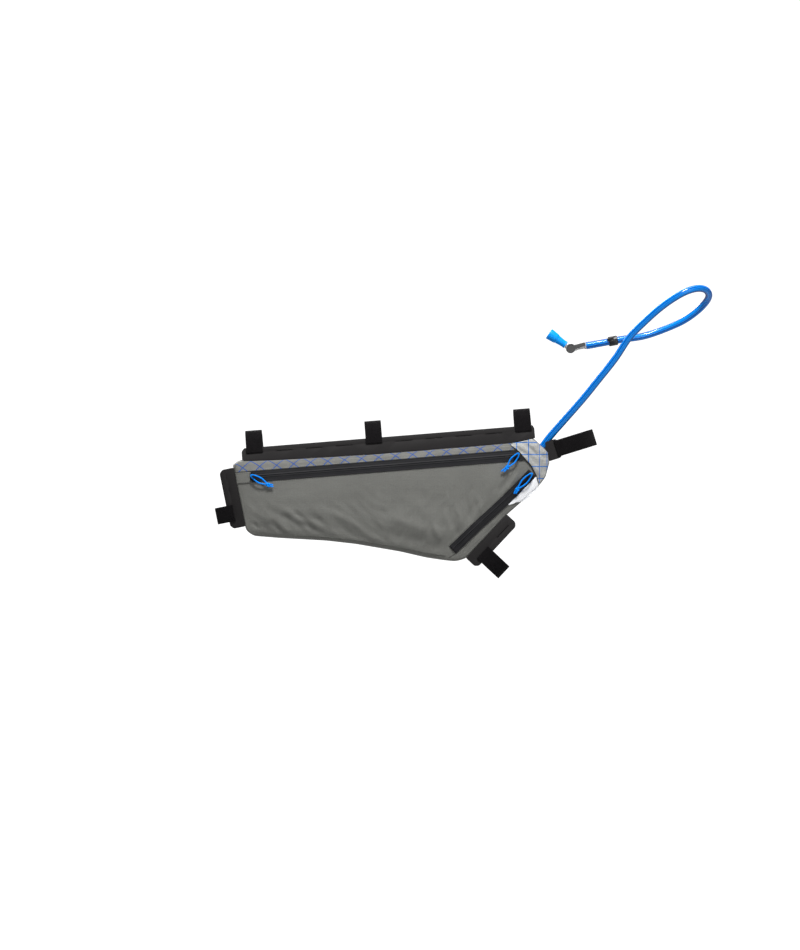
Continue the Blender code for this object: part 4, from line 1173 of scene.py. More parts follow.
class Workshop:
    """Turns meshes into pieces of the bag."""

    thread_radius = 0.00032

    def __init__(self, wardrobe: Wardrobe) -> None:
        """Keep the finishes at hand."""
        self.wardrobe = wardrobe

    def piece(
        self,
        name: str,
        edit: Mesh,
        finish: Finish,
        slot: str,
        nodes: tuple[str, ...] = (),
        body: str = BAG_BODY,
        sharp: float = 40.0,
    ) -> bpy.types.Object:
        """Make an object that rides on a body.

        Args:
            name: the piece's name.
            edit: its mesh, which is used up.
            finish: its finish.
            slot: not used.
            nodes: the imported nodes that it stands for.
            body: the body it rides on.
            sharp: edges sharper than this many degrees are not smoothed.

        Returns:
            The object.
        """
        mesh = bpy.data.meshes.new(name)
        edit.to_mesh(mesh)
        edit.free()
        made = bpy.data.objects.new(name, mesh)
        bpy.context.scene.collection.objects.link(made)
        mesh.materials.append(self.wardrobe.get(finish))
        mesh.shade_smooth()
        mesh.set_sharp_from_angle(angle=math.radians(sharp))
        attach(made, body)
        if nodes:
            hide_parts(*nodes)
        LOG.info("%s: %d faces", name, len(mesh.polygons))
        return made

    def stitches(self, name: str, spots: list[Vector], tone: SeamTone, length: float, slot: str) -> None:
        """A row of short stitches.

        Args:
            name: the piece's name.
            spots: a line of points, one stitch on each.
            tone: the thread's colour.
            length: how long a stitch is.
            slot: the record's material slot.
        """
        edit = bmesh.new()
        for i, spot in enumerate(spots):
            run = spots[min(i + 1, len(spots) - 1)] - spots[max(i - 1, 0)]
            turn = Vector((1.0, 0.0, 0.0)).rotation_difference(run).to_matrix().to_4x4()
            shape = Matrix.Diagonal((length / 2.0, self.thread_radius, self.thread_radius, 1.0))
            place = Matrix.Translation(spot) @ turn @ shape
            bmesh.ops.create_icosphere(edit, subdivisions=1, radius=1.0, matrix=place)
        self.piece(name, edit, THREADS[tone], slot, sharp=60.0)


def wall(piece: bpy.types.Object, thickness: float) -> None:
    """Give an open fabric surface its wall, behind the surface."""
    step = piece.modifiers.new("wall", "SOLIDIFY")
    step.thickness = thickness
    step.offset = -1.0
    step.use_even_offset = False


class PouchForm:
    """The pouch's outline and the surface of its two sides, which all sewn parts follow."""

    length = 0.475
    depth = 0.1995
    rear_reach = 0.211
    seam_drop = 0.029
    half_width = 0.025
    side_bulge = 0.0055
    bulge_fade = 0.06
    corner_radius = 0.004
    tube_slope = math.radians(4.59)
    first_down_tube = 10
    last_down_tube = 12
    seam_groove = 0.0005
    seam_inset = 0.0037
    seam_width = 0.0009
    station_step = 0.0026
    end_step = 0.0011
    easing = 5
    fold_unit = 0.001
    fold_height = 0.0017
    fold_overrun = 0.6
    fold_taper = 1.9
    fold_reach = 3.0
    edge_fade = (0.003, 0.014)
    ripple = 0.0005
    ripple_low = (0.07, 0.125)
    front_lean = math.radians(62.0)
    rear_lean = math.radians(-38.0)
    lean_change = 0.02
    foot_turn = 0.0040
    foot_fade = 0.036
    foot_rear = (-0.200, -0.165)
    foot_front = (0.080, 0.115)

    def __init__(self) -> None:
        """Work out the outline and its search tree."""
        self.top_line = [self.top_corner(row) for row in SECTIONS]
        self.foot_line = [self.spot(row.foot_along, row.foot_drop) for row in SECTIONS]
        self.tops, self.feet = self.station_lines()
        self.outline = self.tops + self.feet[::-1]
        self.tree = KDTree(len(self.outline))
        for i, point in enumerate(self.outline):
            self.tree.insert((point.x, point.y, 0.0), i)
        self.tree.balance()
        self.edges = (
            (self.top_line[0], self.foot_line[0]),
            (self.top_line[3], self.top_line[self.first_down_tube]),
            (self.foot_line[3], self.foot_line[self.first_down_tube - 1]),
            (self.foot_line[self.first_down_tube], self.foot_line[self.last_down_tube]),
            (self.foot_line[-1], self.foot_line[-3]),
        )

    def tube_height(self, x: float) -> float:
        """Height of the top tube's axis."""
        return math.tan(self.tube_slope) * x

    def spot(self, along: float, drop: float) -> Vector:
        """A point of the side view from shares of the pouch's length and depth."""
        x = along * self.length - self.rear_reach
        return Vector((x, self.tube_height(x) - drop * self.depth))

    def top_corner(self, row: Section) -> Vector:
        """Where a cross-line meets the top seam."""
        x = row.top_along * self.length - self.rear_reach
        return Vector((x, self.tube_height(x) - row.top_drop * self.seam_drop))

    def station_lines(self) -> tuple[list[Vector], list[Vector]]:
        """Top and foot ends of close cross-lines, with the outline's corners eased.

        Returns:
            The top ends and the foot ends.
        """
        tops, feet = [], []
        last = len(SECTIONS) - 1
        for i in range(last):
            span = max(
                (self.top_line[i + 1] - self.top_line[i]).length,
                (self.foot_line[i + 1] - self.foot_line[i]).length,
            )
            step = self.end_step if i in (0, last - 1) else self.station_step
            count = max(2, round(span / step))
            for k in range(count):
                tops.append(self.top_line[i].lerp(self.top_line[i + 1], k / count))
                feet.append(self.foot_line[i].lerp(self.foot_line[i + 1], k / count))
        tops.append(self.top_line[-1])
        feet.append(self.foot_line[-1])
        for line in (tops, feet):
            for _ in range(self.easing):
                eased = [(a + b * 2.0 + c) / 4.0 for a, b, c in zip(line, line[1:], line[2:])]
                line[1:-1] = eased
        return tops, feet

    def edge_distance(self, point: Vector) -> float:
        """Distance from a point of the side to the outline."""
        _spot, i, _away = self.tree.find((point.x, point.y, 0.0))
        count = len(self.outline)
        best = 1.0
        for first in (i - 1, i):
            start, end = self.outline[first % count], self.outline[(first + 1) % count]
            _near, share = intersect_point_line(point, start, end)
            clamped = start.lerp(end, min(1.0, max(0.0, share)))
            best = min(best, (point - clamped).length)
        return best

    def bulge(self, point: Vector) -> float:
        """How far the side swells out of its seams."""
        share = 1.0
        for start, end in self.edges:
            run = (end - start).normalized()
            away = abs(run.x * (point.y - start.y) - run.y * (point.x - start.x))
            share *= 1.0 - (1.0 - min(1.0, away / self.bulge_fade)) ** 2
        return self.side_bulge * share

    def half_thickness(self, point: Vector, away: float) -> float:
        """Half the pouch's thickness without folds.

        Args:
            point: a point of the side view.
            away: its distance from the outline.

        Returns:
            The half thickness.
        """
        inside = self.corner_radius - min(away, self.corner_radius)
        rounding = self.corner_radius - math.sqrt(self.corner_radius**2 - inside**2)
        reach = (away - self.seam_inset) / self.seam_width
        groove = self.seam_groove * math.exp(-reach * reach)
        return self.half_width - rounding - groove + self.bulge(point) - self.turn_under(point)

    def turn_under(self, point: Vector) -> float:
        """How far the cloth is drawn in above the foot seam.

        Args:
            point: a point of the side view.

        Returns:
            The depth, which fades upwards and towards the seam's two ends.
        """
        start, end = self.edges[2]
        run = (end - start).normalized()
        away = abs(run.x * (point.y - start.y) - run.y * (point.x - start.x))
        ends = ramp(point.x, *self.foot_rear) * (1.0 - ramp(point.x, *self.foot_front))
        return self.foot_turn * ends * (1.0 - min(1.0, away / self.foot_fade)) ** 2

    def creases(self, point: Vector, away: float, side: Side) -> float:
        """Sum of folds and fine ripples at a point.

        Args:
            point: a point of the side view.
            away: its distance from the outline.
            side: which side of the pouch.

        Returns:
            How far the cloth stands out.
        """
        folds = self.folds(point) if side is Side.NEAR else 0.0
        return (folds + self.ripples(point, side)) * ramp(away, *self.edge_fade)

    def folds(self, point: Vector) -> float:
        """How far the main folds lift the cloth.

        Args:
            point: a point of the side view.

        Returns:
            The sum of the folds that reach it.
        """
        total = 0.0
        for fold in FOLDS:
            start = Vector((fold.start_x, fold.start_z)) * self.fold_unit
            end = Vector((fold.end_x, fold.end_z)) * self.fold_unit
            near, share = intersect_point_line(point, start, end)
            if not -self.fold_overrun < share < 1.0 + self.fold_overrun:
                continue
            reach = (point - near).length / (fold.width * self.fold_unit)
            if reach > self.fold_reach:
                continue
            taper = math.exp(-((share - 0.5) * self.fold_taper) ** 4)
            total += fold.height * self.fold_height * taper * math.exp(-reach * reach)
        return total

    def ripples(self, point: Vector, side: Side) -> float:
        """How far the small ripples lift the cloth: slanting ones low down, and soft and fine ones.

        Args:
            point: a point of the side view.
            side: which side of the pouch.

        Returns:
            The height.
        """
        lean = self.front_lean if point.x > self.lean_change else self.rear_lean
        along = point.x * math.cos(lean) + point.y * math.sin(lean)
        across = -point.x * math.sin(lean) + point.y * math.cos(lean)
        low = ramp(self.tube_height(point.x) - point.y, *self.ripple_low)
        shift = side.value * 7.0
        wave = noise.noise(Vector((along / 0.030, across / 0.0085, shift)))
        soft = noise.noise(Vector((point.x / 0.055, point.y / 0.045, shift + 3.0)))
        fine = noise.noise(Vector((point.x / 0.012, point.y / 0.010, shift + 9.0)))
        return self.ripple * (wave * 2.4 * low + soft * 2.2 + fine * (0.35 + 0.5 * low))

    def surface(self, point: Vector, side: Side = Side.NEAR, lift: float = 0.0) -> Vector:
        """A point on one side of the pouch.

        Args:
            point: its place in the side view.
            side: which side of the pouch.
            lift: how far off the cloth it lies.

        Returns:
            The point in space.
        """
        away = self.edge_distance(point)
        out = self.half_thickness(point, away) + self.creases(point, away, side) + lift
        return Vector((point.x, side.value * out, point.y))

    def inset(self, point: Vector, inward: Vector, room: float) -> Vector:
        """Draw a point inwards until it lies a given room from the outline.

        Args:
            point: the point.
            inward: the point that it moves towards.
            room: the room.

        Returns:
            The moved point.
        """
        for _ in range(60):
            if self.edge_distance(point) >= room:
                break
            point = point.lerp(inward, 0.02)
        return point

    def outset(self, point: Vector, run: Vector, room: float) -> Vector:
        """Push a point outwards until it lies a given room from the outline.

        Args:
            point: the point.
            run: the direction that it moves in.
            room: the room.

        Returns:
            The moved point.
        """
        step = run.normalized() * 0.0003
        for _ in range(60):
            if self.edge_distance(point) <= room:
                break
            point = point + step
        return point

    def panel_edge(self, drop: float) -> float:
        """Where the corner panel's rear edge lies, at a drop below the top tube's axis."""
        for row, following in zip(CORNER_PANEL, CORNER_PANEL[1:]):
            first, last = row.inner_drop * self.depth, following.inner_drop * self.depth
            if drop <= last:
                share = (drop - first) / (last - first)
                along = row.inner_along + (following.inner_along - row.inner_along) * share
                return along * self.length - self.rear_reach
        return CORNER_PANEL[-1].inner_along * self.length - self.rear_reach


@dataclass
class Pouch:
    """The sage pouch itself, hollow, open under its zips and at the hose port."""

    form: PouchForm
    shop: Workshop
    side_rows: int = 62
    crown_rows: int = 9
    cap_rows: int = 7
    top_crown: float = 0.0018
    foot_crown: float = 0.0008
    wall: float = 0.0014
    port_room: float = 0.0010
    seam_start: tuple[float, float] = (0.1230, -0.1785)
    seam_end: tuple[float, float] = (0.1125, -0.1845)
    hem_rear: float = -0.118
    hem_front: float = 0.108
    hem_room: float = 0.0036
    seam_radius: float = 0.00045
    hem_radius: float = 0.0005
    thread_lift: float = 0.0001

    def rises(self) -> list[float]:
        """Shares up a cross-line, closer together at its two ends."""
        even = spread(-1.0, 1.0, self.side_rows)
        return [0.5 + 0.5 * math.copysign(1.0 - (1.0 - abs(v)) ** 1.3, v) for v in even]

    def ring(self, top: Vector, foot: Vector) -> Ring:
        """Points round one cross-section, with their map coordinates.

        Args:
            top: the cross-line's top end.
            foot: its foot end.

        Returns:
            The points and their map coordinates.
        """
        up = (top - foot).normalized()
        sides = {}
        for side in Side:
            sides[side] = [self.form.surface(foot.lerp(top, rise), side) for rise in self.rises()]
        near, far = sides[Side.NEAR], sides[Side.FAR]
        points = list(near)
        marks = [(p.x, p.z) for p in near]
        ends = (
            (top, self.top_crown, near[-1], far[-1]),
            (foot, -self.foot_crown, far[0], near[0]),
        )
        for end, crown, first, last in ends:
            for share in spread(0.0, 1.0, self.crown_rows + 2)[1:-1]:
                y = first.y + (last.y - first.y) * share
                spot = end + up * crown * (1.0 - (2.0 * share - 1.0) ** 2)
                points.append(Vector((spot.x, y, spot.y)))
                marks.append((spot.x, y))
            if crown > 0.0:
                points += far[::-1]
                marks += [(-p.x, p.z) for p in far[::-1]]
        points.append(points[0])
        marks.append(marks[-1])
        return points, marks

    def closing(self, points: list[Vector], top: Vector, foot: Vector, share: float) -> Ring:
        """A ring of an end wall, drawn towards the middle plane.

        Args:
            points: the ring at the end of the pouch.
            top: the end cross-line's top end.
            foot: its foot end.
            share: how much of the ring's width is left.

        Returns:
            The ring and its map coordinates.
        """
        ring = []
        for point in points:
            flat, rise = intersect_point_line(Vector((point.x, point.z)), top, foot)
            flat = top.lerp(foot, min(1.0, max(0.0, rise)))
            flat = flat.lerp(Vector((point.x, point.z)), share)
            ring.append(Vector((flat.x, point.y * share, flat.y)))
        return ring, [(p.y, p.z) for p in ring]

    def openings(self, edit: Mesh, zips: Rows) -> None:
        """Open the cloth under the zips and at the hose port.

        Args:
            edit: the pouch's mesh.
            zips: the zips' middle lines.
        """
        start, end = Vector(HOSE_ROUTE[0]), Vector(HOSE_ROUTE[2])
        axis = (end - start).normalized()
        room = Hose.diameter / 2.0 + self.port_room
        doomed = []
        for face in edit.faces:
            centre = face.calc_center_median()
            off = centre - start
            height = off.dot(axis)
            if 0.0 < height < (end - start).length and (off - axis * height).length < room:
                doomed.append(face)
            elif centre.y < -self.form.half_width / 2.0:
                spot = Vector((centre.x, centre.z))
                if any(self.under(spot, line) for line in zips):
                    doomed.append(face)
        bmesh.ops.delete(edit, geom=doomed, context="FACES")
        for vert in edit.verts:
            off = vert.co - start
            height = off.dot(axis)
            square = off - axis * height
            if vert.is_boundary and 0.0 < height < (end - start).length and square.length < 2.0 * room:
                vert.co += square.normalized() * (room - square.length)

    @staticmethod
    def under(spot: Vector, line: list[Vector], reach: float = 0.0036, ends: float = 0.008) -> bool:
        """Whether a point of the side view lies in a zip's slot.

        Args:
            spot: the point.
            line: the zip's middle line.
            reach: half the slot's width.
            ends: how much of the zip stays closed at each end.

        Returns:
            True if it does.
        """
        if min((spot - line[0]).length, (spot - line[-1]).length) < ends:
            return False
        for start, end in zip(line, line[1:]):
            near, share = intersect_point_line(spot, start, end)
            if 0.0 <= share <= 1.0 and (spot - near).length < reach:
                return True
        return False

    def build(self, zips: Rows) -> None:
        """Build the pouch.

        Args:
            zips: the zips' middle lines.
        """
        tops, feet = self.form.tops, self.form.feet
        rings = [self.ring(top, foot) for top, foot in zip(tops, feet)]
        shares = [math.sin(math.pi / 2.0 * k / self.cap_rows) for k in range(self.cap_rows)]
        rear = [self.closing(rings[0][0], tops[0], feet[0], share) for share in shares]
        front = [self.closing(rings[-1][0], tops[-1], feet[-1], share) for share in shares[::-1]]
        every = rear + rings + front
        edit = lattice([ring for ring, _ in every], [marks for _, marks in every])
        bmesh.ops.remove_doubles(edit, verts=edit.verts, dist=2e-5)
        bmesh.ops.recalc_face_normals(edit, faces=edit.faces)
        self.openings(edit, zips)
        pouch = self.shop.piece("pouch", edit, SAGE, "sage_fabric", ("bag_shell",))
        wall(pouch, self.wall)
        self.build_seam()
        self.build_hem()

    def build_seam(self) -> None:
        """The short seam from the lower zip's foot to the edge."""
        start, end = Vector(self.seam_start), Vector(self.seam_end)
        self.sew("foot_seam", [start.lerp(end, share) for share in spread(0.0, 1.0, 12)], self.seam_radius)

    def build_hem(self) -> None:
        """The long seam just above the foot edge."""
        hem = []
        for top, foot in zip(self.form.tops, self.form.feet):
            if self.hem_rear < foot.x < self.hem_front:
                hem.append(self.form.inset(foot, top, self.hem_room))
        self.sew("foot_hem", even_line(hem, 120), self.hem_radius)

    def sew(self, name: str, line: list[Vector], radius: float) -> None:
        """A seam's raised line on the near side.

        Args:
            name: the piece's name.
            line: its points in the side view.
            radius: its radius.
        """
        spots = [self.form.surface(spot, lift=self.thread_lift) for spot in line]
        edit = sweep(spots, [radius] * len(spots), 8)
        self.shop.piece(name, edit, THREADS[SeamTone.GREY], "sage_fabric")


@dataclass
class Zips:
    """The two coated zips."""

    form: PouchForm
    shop: Workshop
    upper_drop: float = 0.0483
    upper_rear: float = 0.026
    upper_width: float = 0.0165
    lower_width: float = 0.015
    standoff: float = 0.0003
    end_room: float = 0.0002
    slant_length: float = 0.030
    round_end: float = 0.0035
    tape: float = 0.0008
    stitch: float = 0.0021
    upper_stitch_room: float = 0.0013
    lower_stitch_room: float = 0.0012

    def upper_line(self) -> list[Vector]:
        """Middle line of the upper zip."""
        form = self.form
        start = self.upper_rear - form.rear_reach
        end = form.panel_edge(self.upper_drop) - self.end_room
        return [Vector((x, form.tube_height(x) - self.upper_drop)) for x in spread(start, end, 150)]

    def lower_line(self) -> list[Vector]:
        """Middle line of the lower zip."""
        knots = [self.form.spot(row.along, row.drop) for row in LOWER_ZIP]
        return even_line(smooth_line(knots, 12), 70)

    def profile(self, width: float) -> list[Mark]:
        """Across the zip: place from its middle line, and rise.

        Args:
            width: the zip's width.

        Returns:
            The pairs.
        """
        half = [
            (0.0, 0.0007),
            (0.0004, 0.0013),
            (0.0013, 0.0017),
            (0.0022, 0.0015),
            (0.0029, 0.0010),
            (0.0036, 0.0009),
            (width / 2.0 - 0.0024, 0.0011),
            (width / 2.0 - 0.0020, 0.0008),
            (width / 2.0 - 0.0016, 0.0011),
            (width / 2.0 - 0.0004, 0.0010),
            (width / 2.0, 0.0006),
        ]
        return [(-place, rise) for place, rise in half[:0:-1]] + half

    def build_one(self, name: str, line: list[Vector], width: float, upper: bool) -> None:
        """Build one zip.

        Args:
            name: the piece's name, which is also its node's.
            line: its middle line.
            width: its width.
            upper: it has a rounded rear end, and meets the corner panel's slanted edge in front.
        """
        profile = self.profile(width)
        total = line_length(line)
        points, marks = [], []
        gone = 0.0
        for i, spot in enumerate(line):
            gone += (spot - line[i - 1]).length if i else 0.0
            side = side_normal(line, i)
            run = Vector((side.y, -side.x))
            start = min(1.0, (gone + 0.0004) / self.round_end) if upper else 1.0
            narrow = math.sqrt(1.0 - (1.0 - start) ** 2)
            near_end = ramp(gone, total - self.slant_length, total) if upper else 0.0
            row, row_marks = [], []
            for place, rise in profile:
                slanted = self.form.panel_edge(self.upper_drop - place) - self.end_room - line[-1].x
                ahead = slanted * near_end
                flat = spot + side * place * narrow + run * ahead
                row.append(self.form.surface(flat, lift=self.standoff + rise))
                row_marks.append((gone + ahead, place))
            points.append(row)
            marks.append(row_marks)
        edit = lattice(points, marks)
        face_out(edit)
        piece = self.shop.piece(name + "_tape", edit, ZIP, "zip_tape", (name,), sharp=25.0)
        wall(piece, self.tape)

    def build(self) -> None:
        """Build both zips and the stitches beside them."""
        upper, lower = self.upper_line(), self.lower_line()
        self.build_one("upper_zip", upper, self.upper_width, True)
        self.build_one("lower_zip", lower, self.lower_width, False)
        reach = self.upper_width / 2.0 + self.upper_stitch_room
        for name, sign, lift in (("upper", 1.0, 0.0013), ("lower", -1.0, 0.0001)):
            line = [spot + side_normal(upper, i) * sign * reach for i, spot in enumerate(upper)]
            spots = [self.form.surface(spot, lift=lift) for spot in even_line(line[2:-2], 122)]
            self.shop.stitches(f"upper_zip_{name}_stitches", spots, SeamTone.PALE, self.stitch, "zip_tape")
        reach = self.lower_width / 2.0 + self.lower_stitch_room
        for name, sign in (("rear", 1.0), ("front", -1.0)):
            line = [spot + side_normal(lower, i) * sign * reach for i, spot in enumerate(lower)]
            spots = [self.form.surface(spot, lift=0.0001) for spot in even_line(line[:-8], 52)]
            self.shop.stitches(f"lower_zip_{name}_stitches", spots, SeamTone.GREY, self.stitch, "zip_tape")


@dataclass
class Panels:
    """The pale band, the corner panel, the white panel and the patch over the zip's rear end."""

    form: PouchForm
    shop: Workshop
    zips: Zips
    room: float = 0.0007
    lift: float = 0.0010
    thickness: float = 0.0006
    garage_length: float = 0.018
    garage_height: float = 0.0165
    lattice_drop: float = 0.0335
    lattice_start: float = -0.1995
    grid_x: float = 0.21465
    grid_z: float = -0.01155
    wrap_start: float = 0.243
    wrap_end: float = 0.266
    wrap_extra: float = 0.010
    over: float = 0.0007
    pucker: float = 0.0019
    lattice_stretch: float = 1.10
    lattice_turn: float = 0.0032

    def surface_rows(self, rows: Rows) -> Rows:
        """Rows of side-view points laid on the near side."""
        return [[self.form.surface(point, lift=self.lift) for point in row] for row in rows]

    def sew_on(self, name: str, node: str, finish: Finish, slot: str, rows: Rows, marks: Marks) -> None:
        """Sew a panel on the pouch.

        Args:
            name: the piece's name.
            node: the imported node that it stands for.
            finish: its finish.
            slot: the record's material slot.
            rows: its points in space.
            marks: their map coordinates.
        """
        edit = lattice(rows, marks)
        face_out(edit)
        wall(self.shop.piece(name, edit, finish, slot, (node,)), self.thickness)

    def build_band(self) -> None:
        """The pale band between the top seam and the upper zip."""
        form = self.form
        floor = self.zips.upper_drop - self.zips.upper_width / 2.0 - 0.0002
        start = self.zips.upper_rear - form.rear_reach - self.garage_length - 0.0045
        end = form.spot(CORNER_PANEL[0].inner_along, CORNER_PANEL[0].inner_drop).x + 0.0045
        rows, marks = [], []
        cos, sin = math.cos(form.tube_slope), math.sin(form.tube_slope)
        for x in spread(start, end, 170):
            low = Vector((x, form.tube_height(x) - floor))
            high = form.inset(Vector((x, self.seam_height(x) - 0.0002)), low, self.room)
            row = [low.lerp(high, share) for share in spread(0.0, 1.0, 14)]
            rows.append(row)
            marks.append([])
            for i, p in enumerate(row):
                rise = (p.y * cos - p.x * sin + self.lattice_drop) * self.lattice_stretch
                rise += self.lattice_turn * (i / (len(row) - 1)) ** 3
                marks[-1].append((p.x * cos + p.y * sin - self.lattice_start, rise))
        self.sew_on("pale_band", "top_band", BAND, "lattice_fabric", self.surface_rows(rows), marks)

    def seam_height(self, x: float) -> float:
        """Height of the top seam in the side view."""
        for start, end in zip(self.form.tops, self.form.tops[1:]):
            if start.x <= x <= end.x:
                return start.lerp(end, (x - start.x) / (end.x - start.x)).y
        return self.form.tops[0].y

    def build_corner(self) -> None:
        """The pale corner panel, with its square grid and the dark seam on its rear edge."""
        form = self.form
        inner = [form.spot(row.inner_along, row.inner_drop) for row in CORNER_PANEL]
        outer = [form.spot(row.outer_along, row.outer_drop) for row in CORNER_PANEL]
        centre = sum(inner, Vector((0.0, 0.0))) / len(inner)
        inner, outer = (even_line(smooth_line(line, 8), 46) for line in (inner, outer))
        rows = []
        for near, far in zip(inner, outer):
            near, far = (form.inset(spot, centre, self.room) for spot in (near, far))
            far = form.outset(far, far - near, self.room)
            rows.append([near.lerp(far, share) for share in spread(0.0, 1.0, 24)])
        marks = [[self.wrapped(p) for p in row] for row in rows]
        cloth = [[self.puckered(p) for p in row] for row in rows]
        self.sew_on("corner_cloth", "corner_panel", CORNER, "pale_fabric", cloth, marks)
        rim = [form.surface(row[0], lift=self.lift + 0.0005) for row in rows]
        edit = sweep(rim, [0.0006] * len(rim), 8)
        self.shop.piece("corner_binding", edit, THREADS[SeamTone.DARK], "pale_fabric")

    def wrapped(self, point: Vector) -> tuple[float, float]:
        """Map coordinates on the corner panel, whose cloth turns round the front edge."""
        extra = self.wrap_extra * ramp(point.x, self.wrap_start, self.wrap_end)
        return (point.x - self.grid_x + extra, point.y - self.grid_z)

    def puckered(self, point: Vector) -> Vector:
        """A point of the corner panel, with the soft creases of pulled cloth."""
        along = (point.x + point.y) / 0.011
        across = (point.x - point.y) / 0.024
        crease = noise.noise(Vector((along, across, 4.0))) * self.pucker
        fade = ramp(self.form.edge_distance(point), 0.001, 0.006)
        return self.form.surface(point, lift=self.lift + self.over + crease * fade)

    def build_white(self) -> None:
        """The white panel ahead of the lower zip."""
        form = self.form
        line = self.zips.lower_line()
        rows, marks = [], []
        for share in spread(WHITE_PANEL[0].share, WHITE_PANEL[-1].share, 36):
            width = self.width_at(share) * self.zips.lower_width
            spot, side = place_on(line, share)
            ahead = side * -1.0
            near = spot + ahead * (self.zips.lower_width / 2.0 + 0.0003)
            far = form.inset(near + ahead * width, near, self.room)
            row = [near.lerp(far, part) for part in spread(0.0, 1.0, 10)]
            rows.append(row)
            marks.append([(p.x, p.y) for p in row])
        self.sew_on("white_cloth", "white_panel", WHITE, "white_fabric", self.surface_rows(rows), marks)

    @staticmethod
    def width_at(share: float) -> float:
        """The white panel's width at a share of the zip, eased between the chosen rows."""
        for low, high in zip(WHITE_PANEL, WHITE_PANEL[1:]):
            if low.share <= share <= high.share:
                return low.width + (high.width - low.width) * ramp(share, low.share, high.share)
        return WHITE_PANEL[-1].width

    def build_garage(self) -> None:
        """The patch over the rear end of the upper zip, with its stitches."""
        line = self.zips.upper_line()
        run = (line[1] - line[0]).normalized()
        up = Vector((-run.y, run.x))
        top = self.zips.upper_width / 2.0 - 0.0008
        rows = []
        for behind in spread(self.garage_length + 0.004, 0.0006, 16):
            base = line[0] - run * behind
            rows.append([base + up * rise for rise in spread(top - self.garage_height, top, 14)])
        rows = [[self.form.inset(p, line[6], self.room) for p in row] for row in rows]
        marks = [[(p.x, p.y) for p in row] for row in rows]
        self.sew_on("zip_end_patch", "zip_garage", SAGE, "sage_fabric", self.surface_rows(rows), marks)
        for name, column in (("top", -2), ("foot", 1)):
            edge = even_line([row[column] for row in rows], 7)
            spots = [self.form.surface(p, lift=self.lift + 0.0001) for p in edge]
            self.shop.stitches(f"patch_{name}_stitches", spots, SeamTone.GREY, 0.0020, "sage_fabric")

    def build(self) -> None:
        """Build all the panels."""
        self.build_band()
        self.build_corner()
        self.build_white()
        self.build_garage()


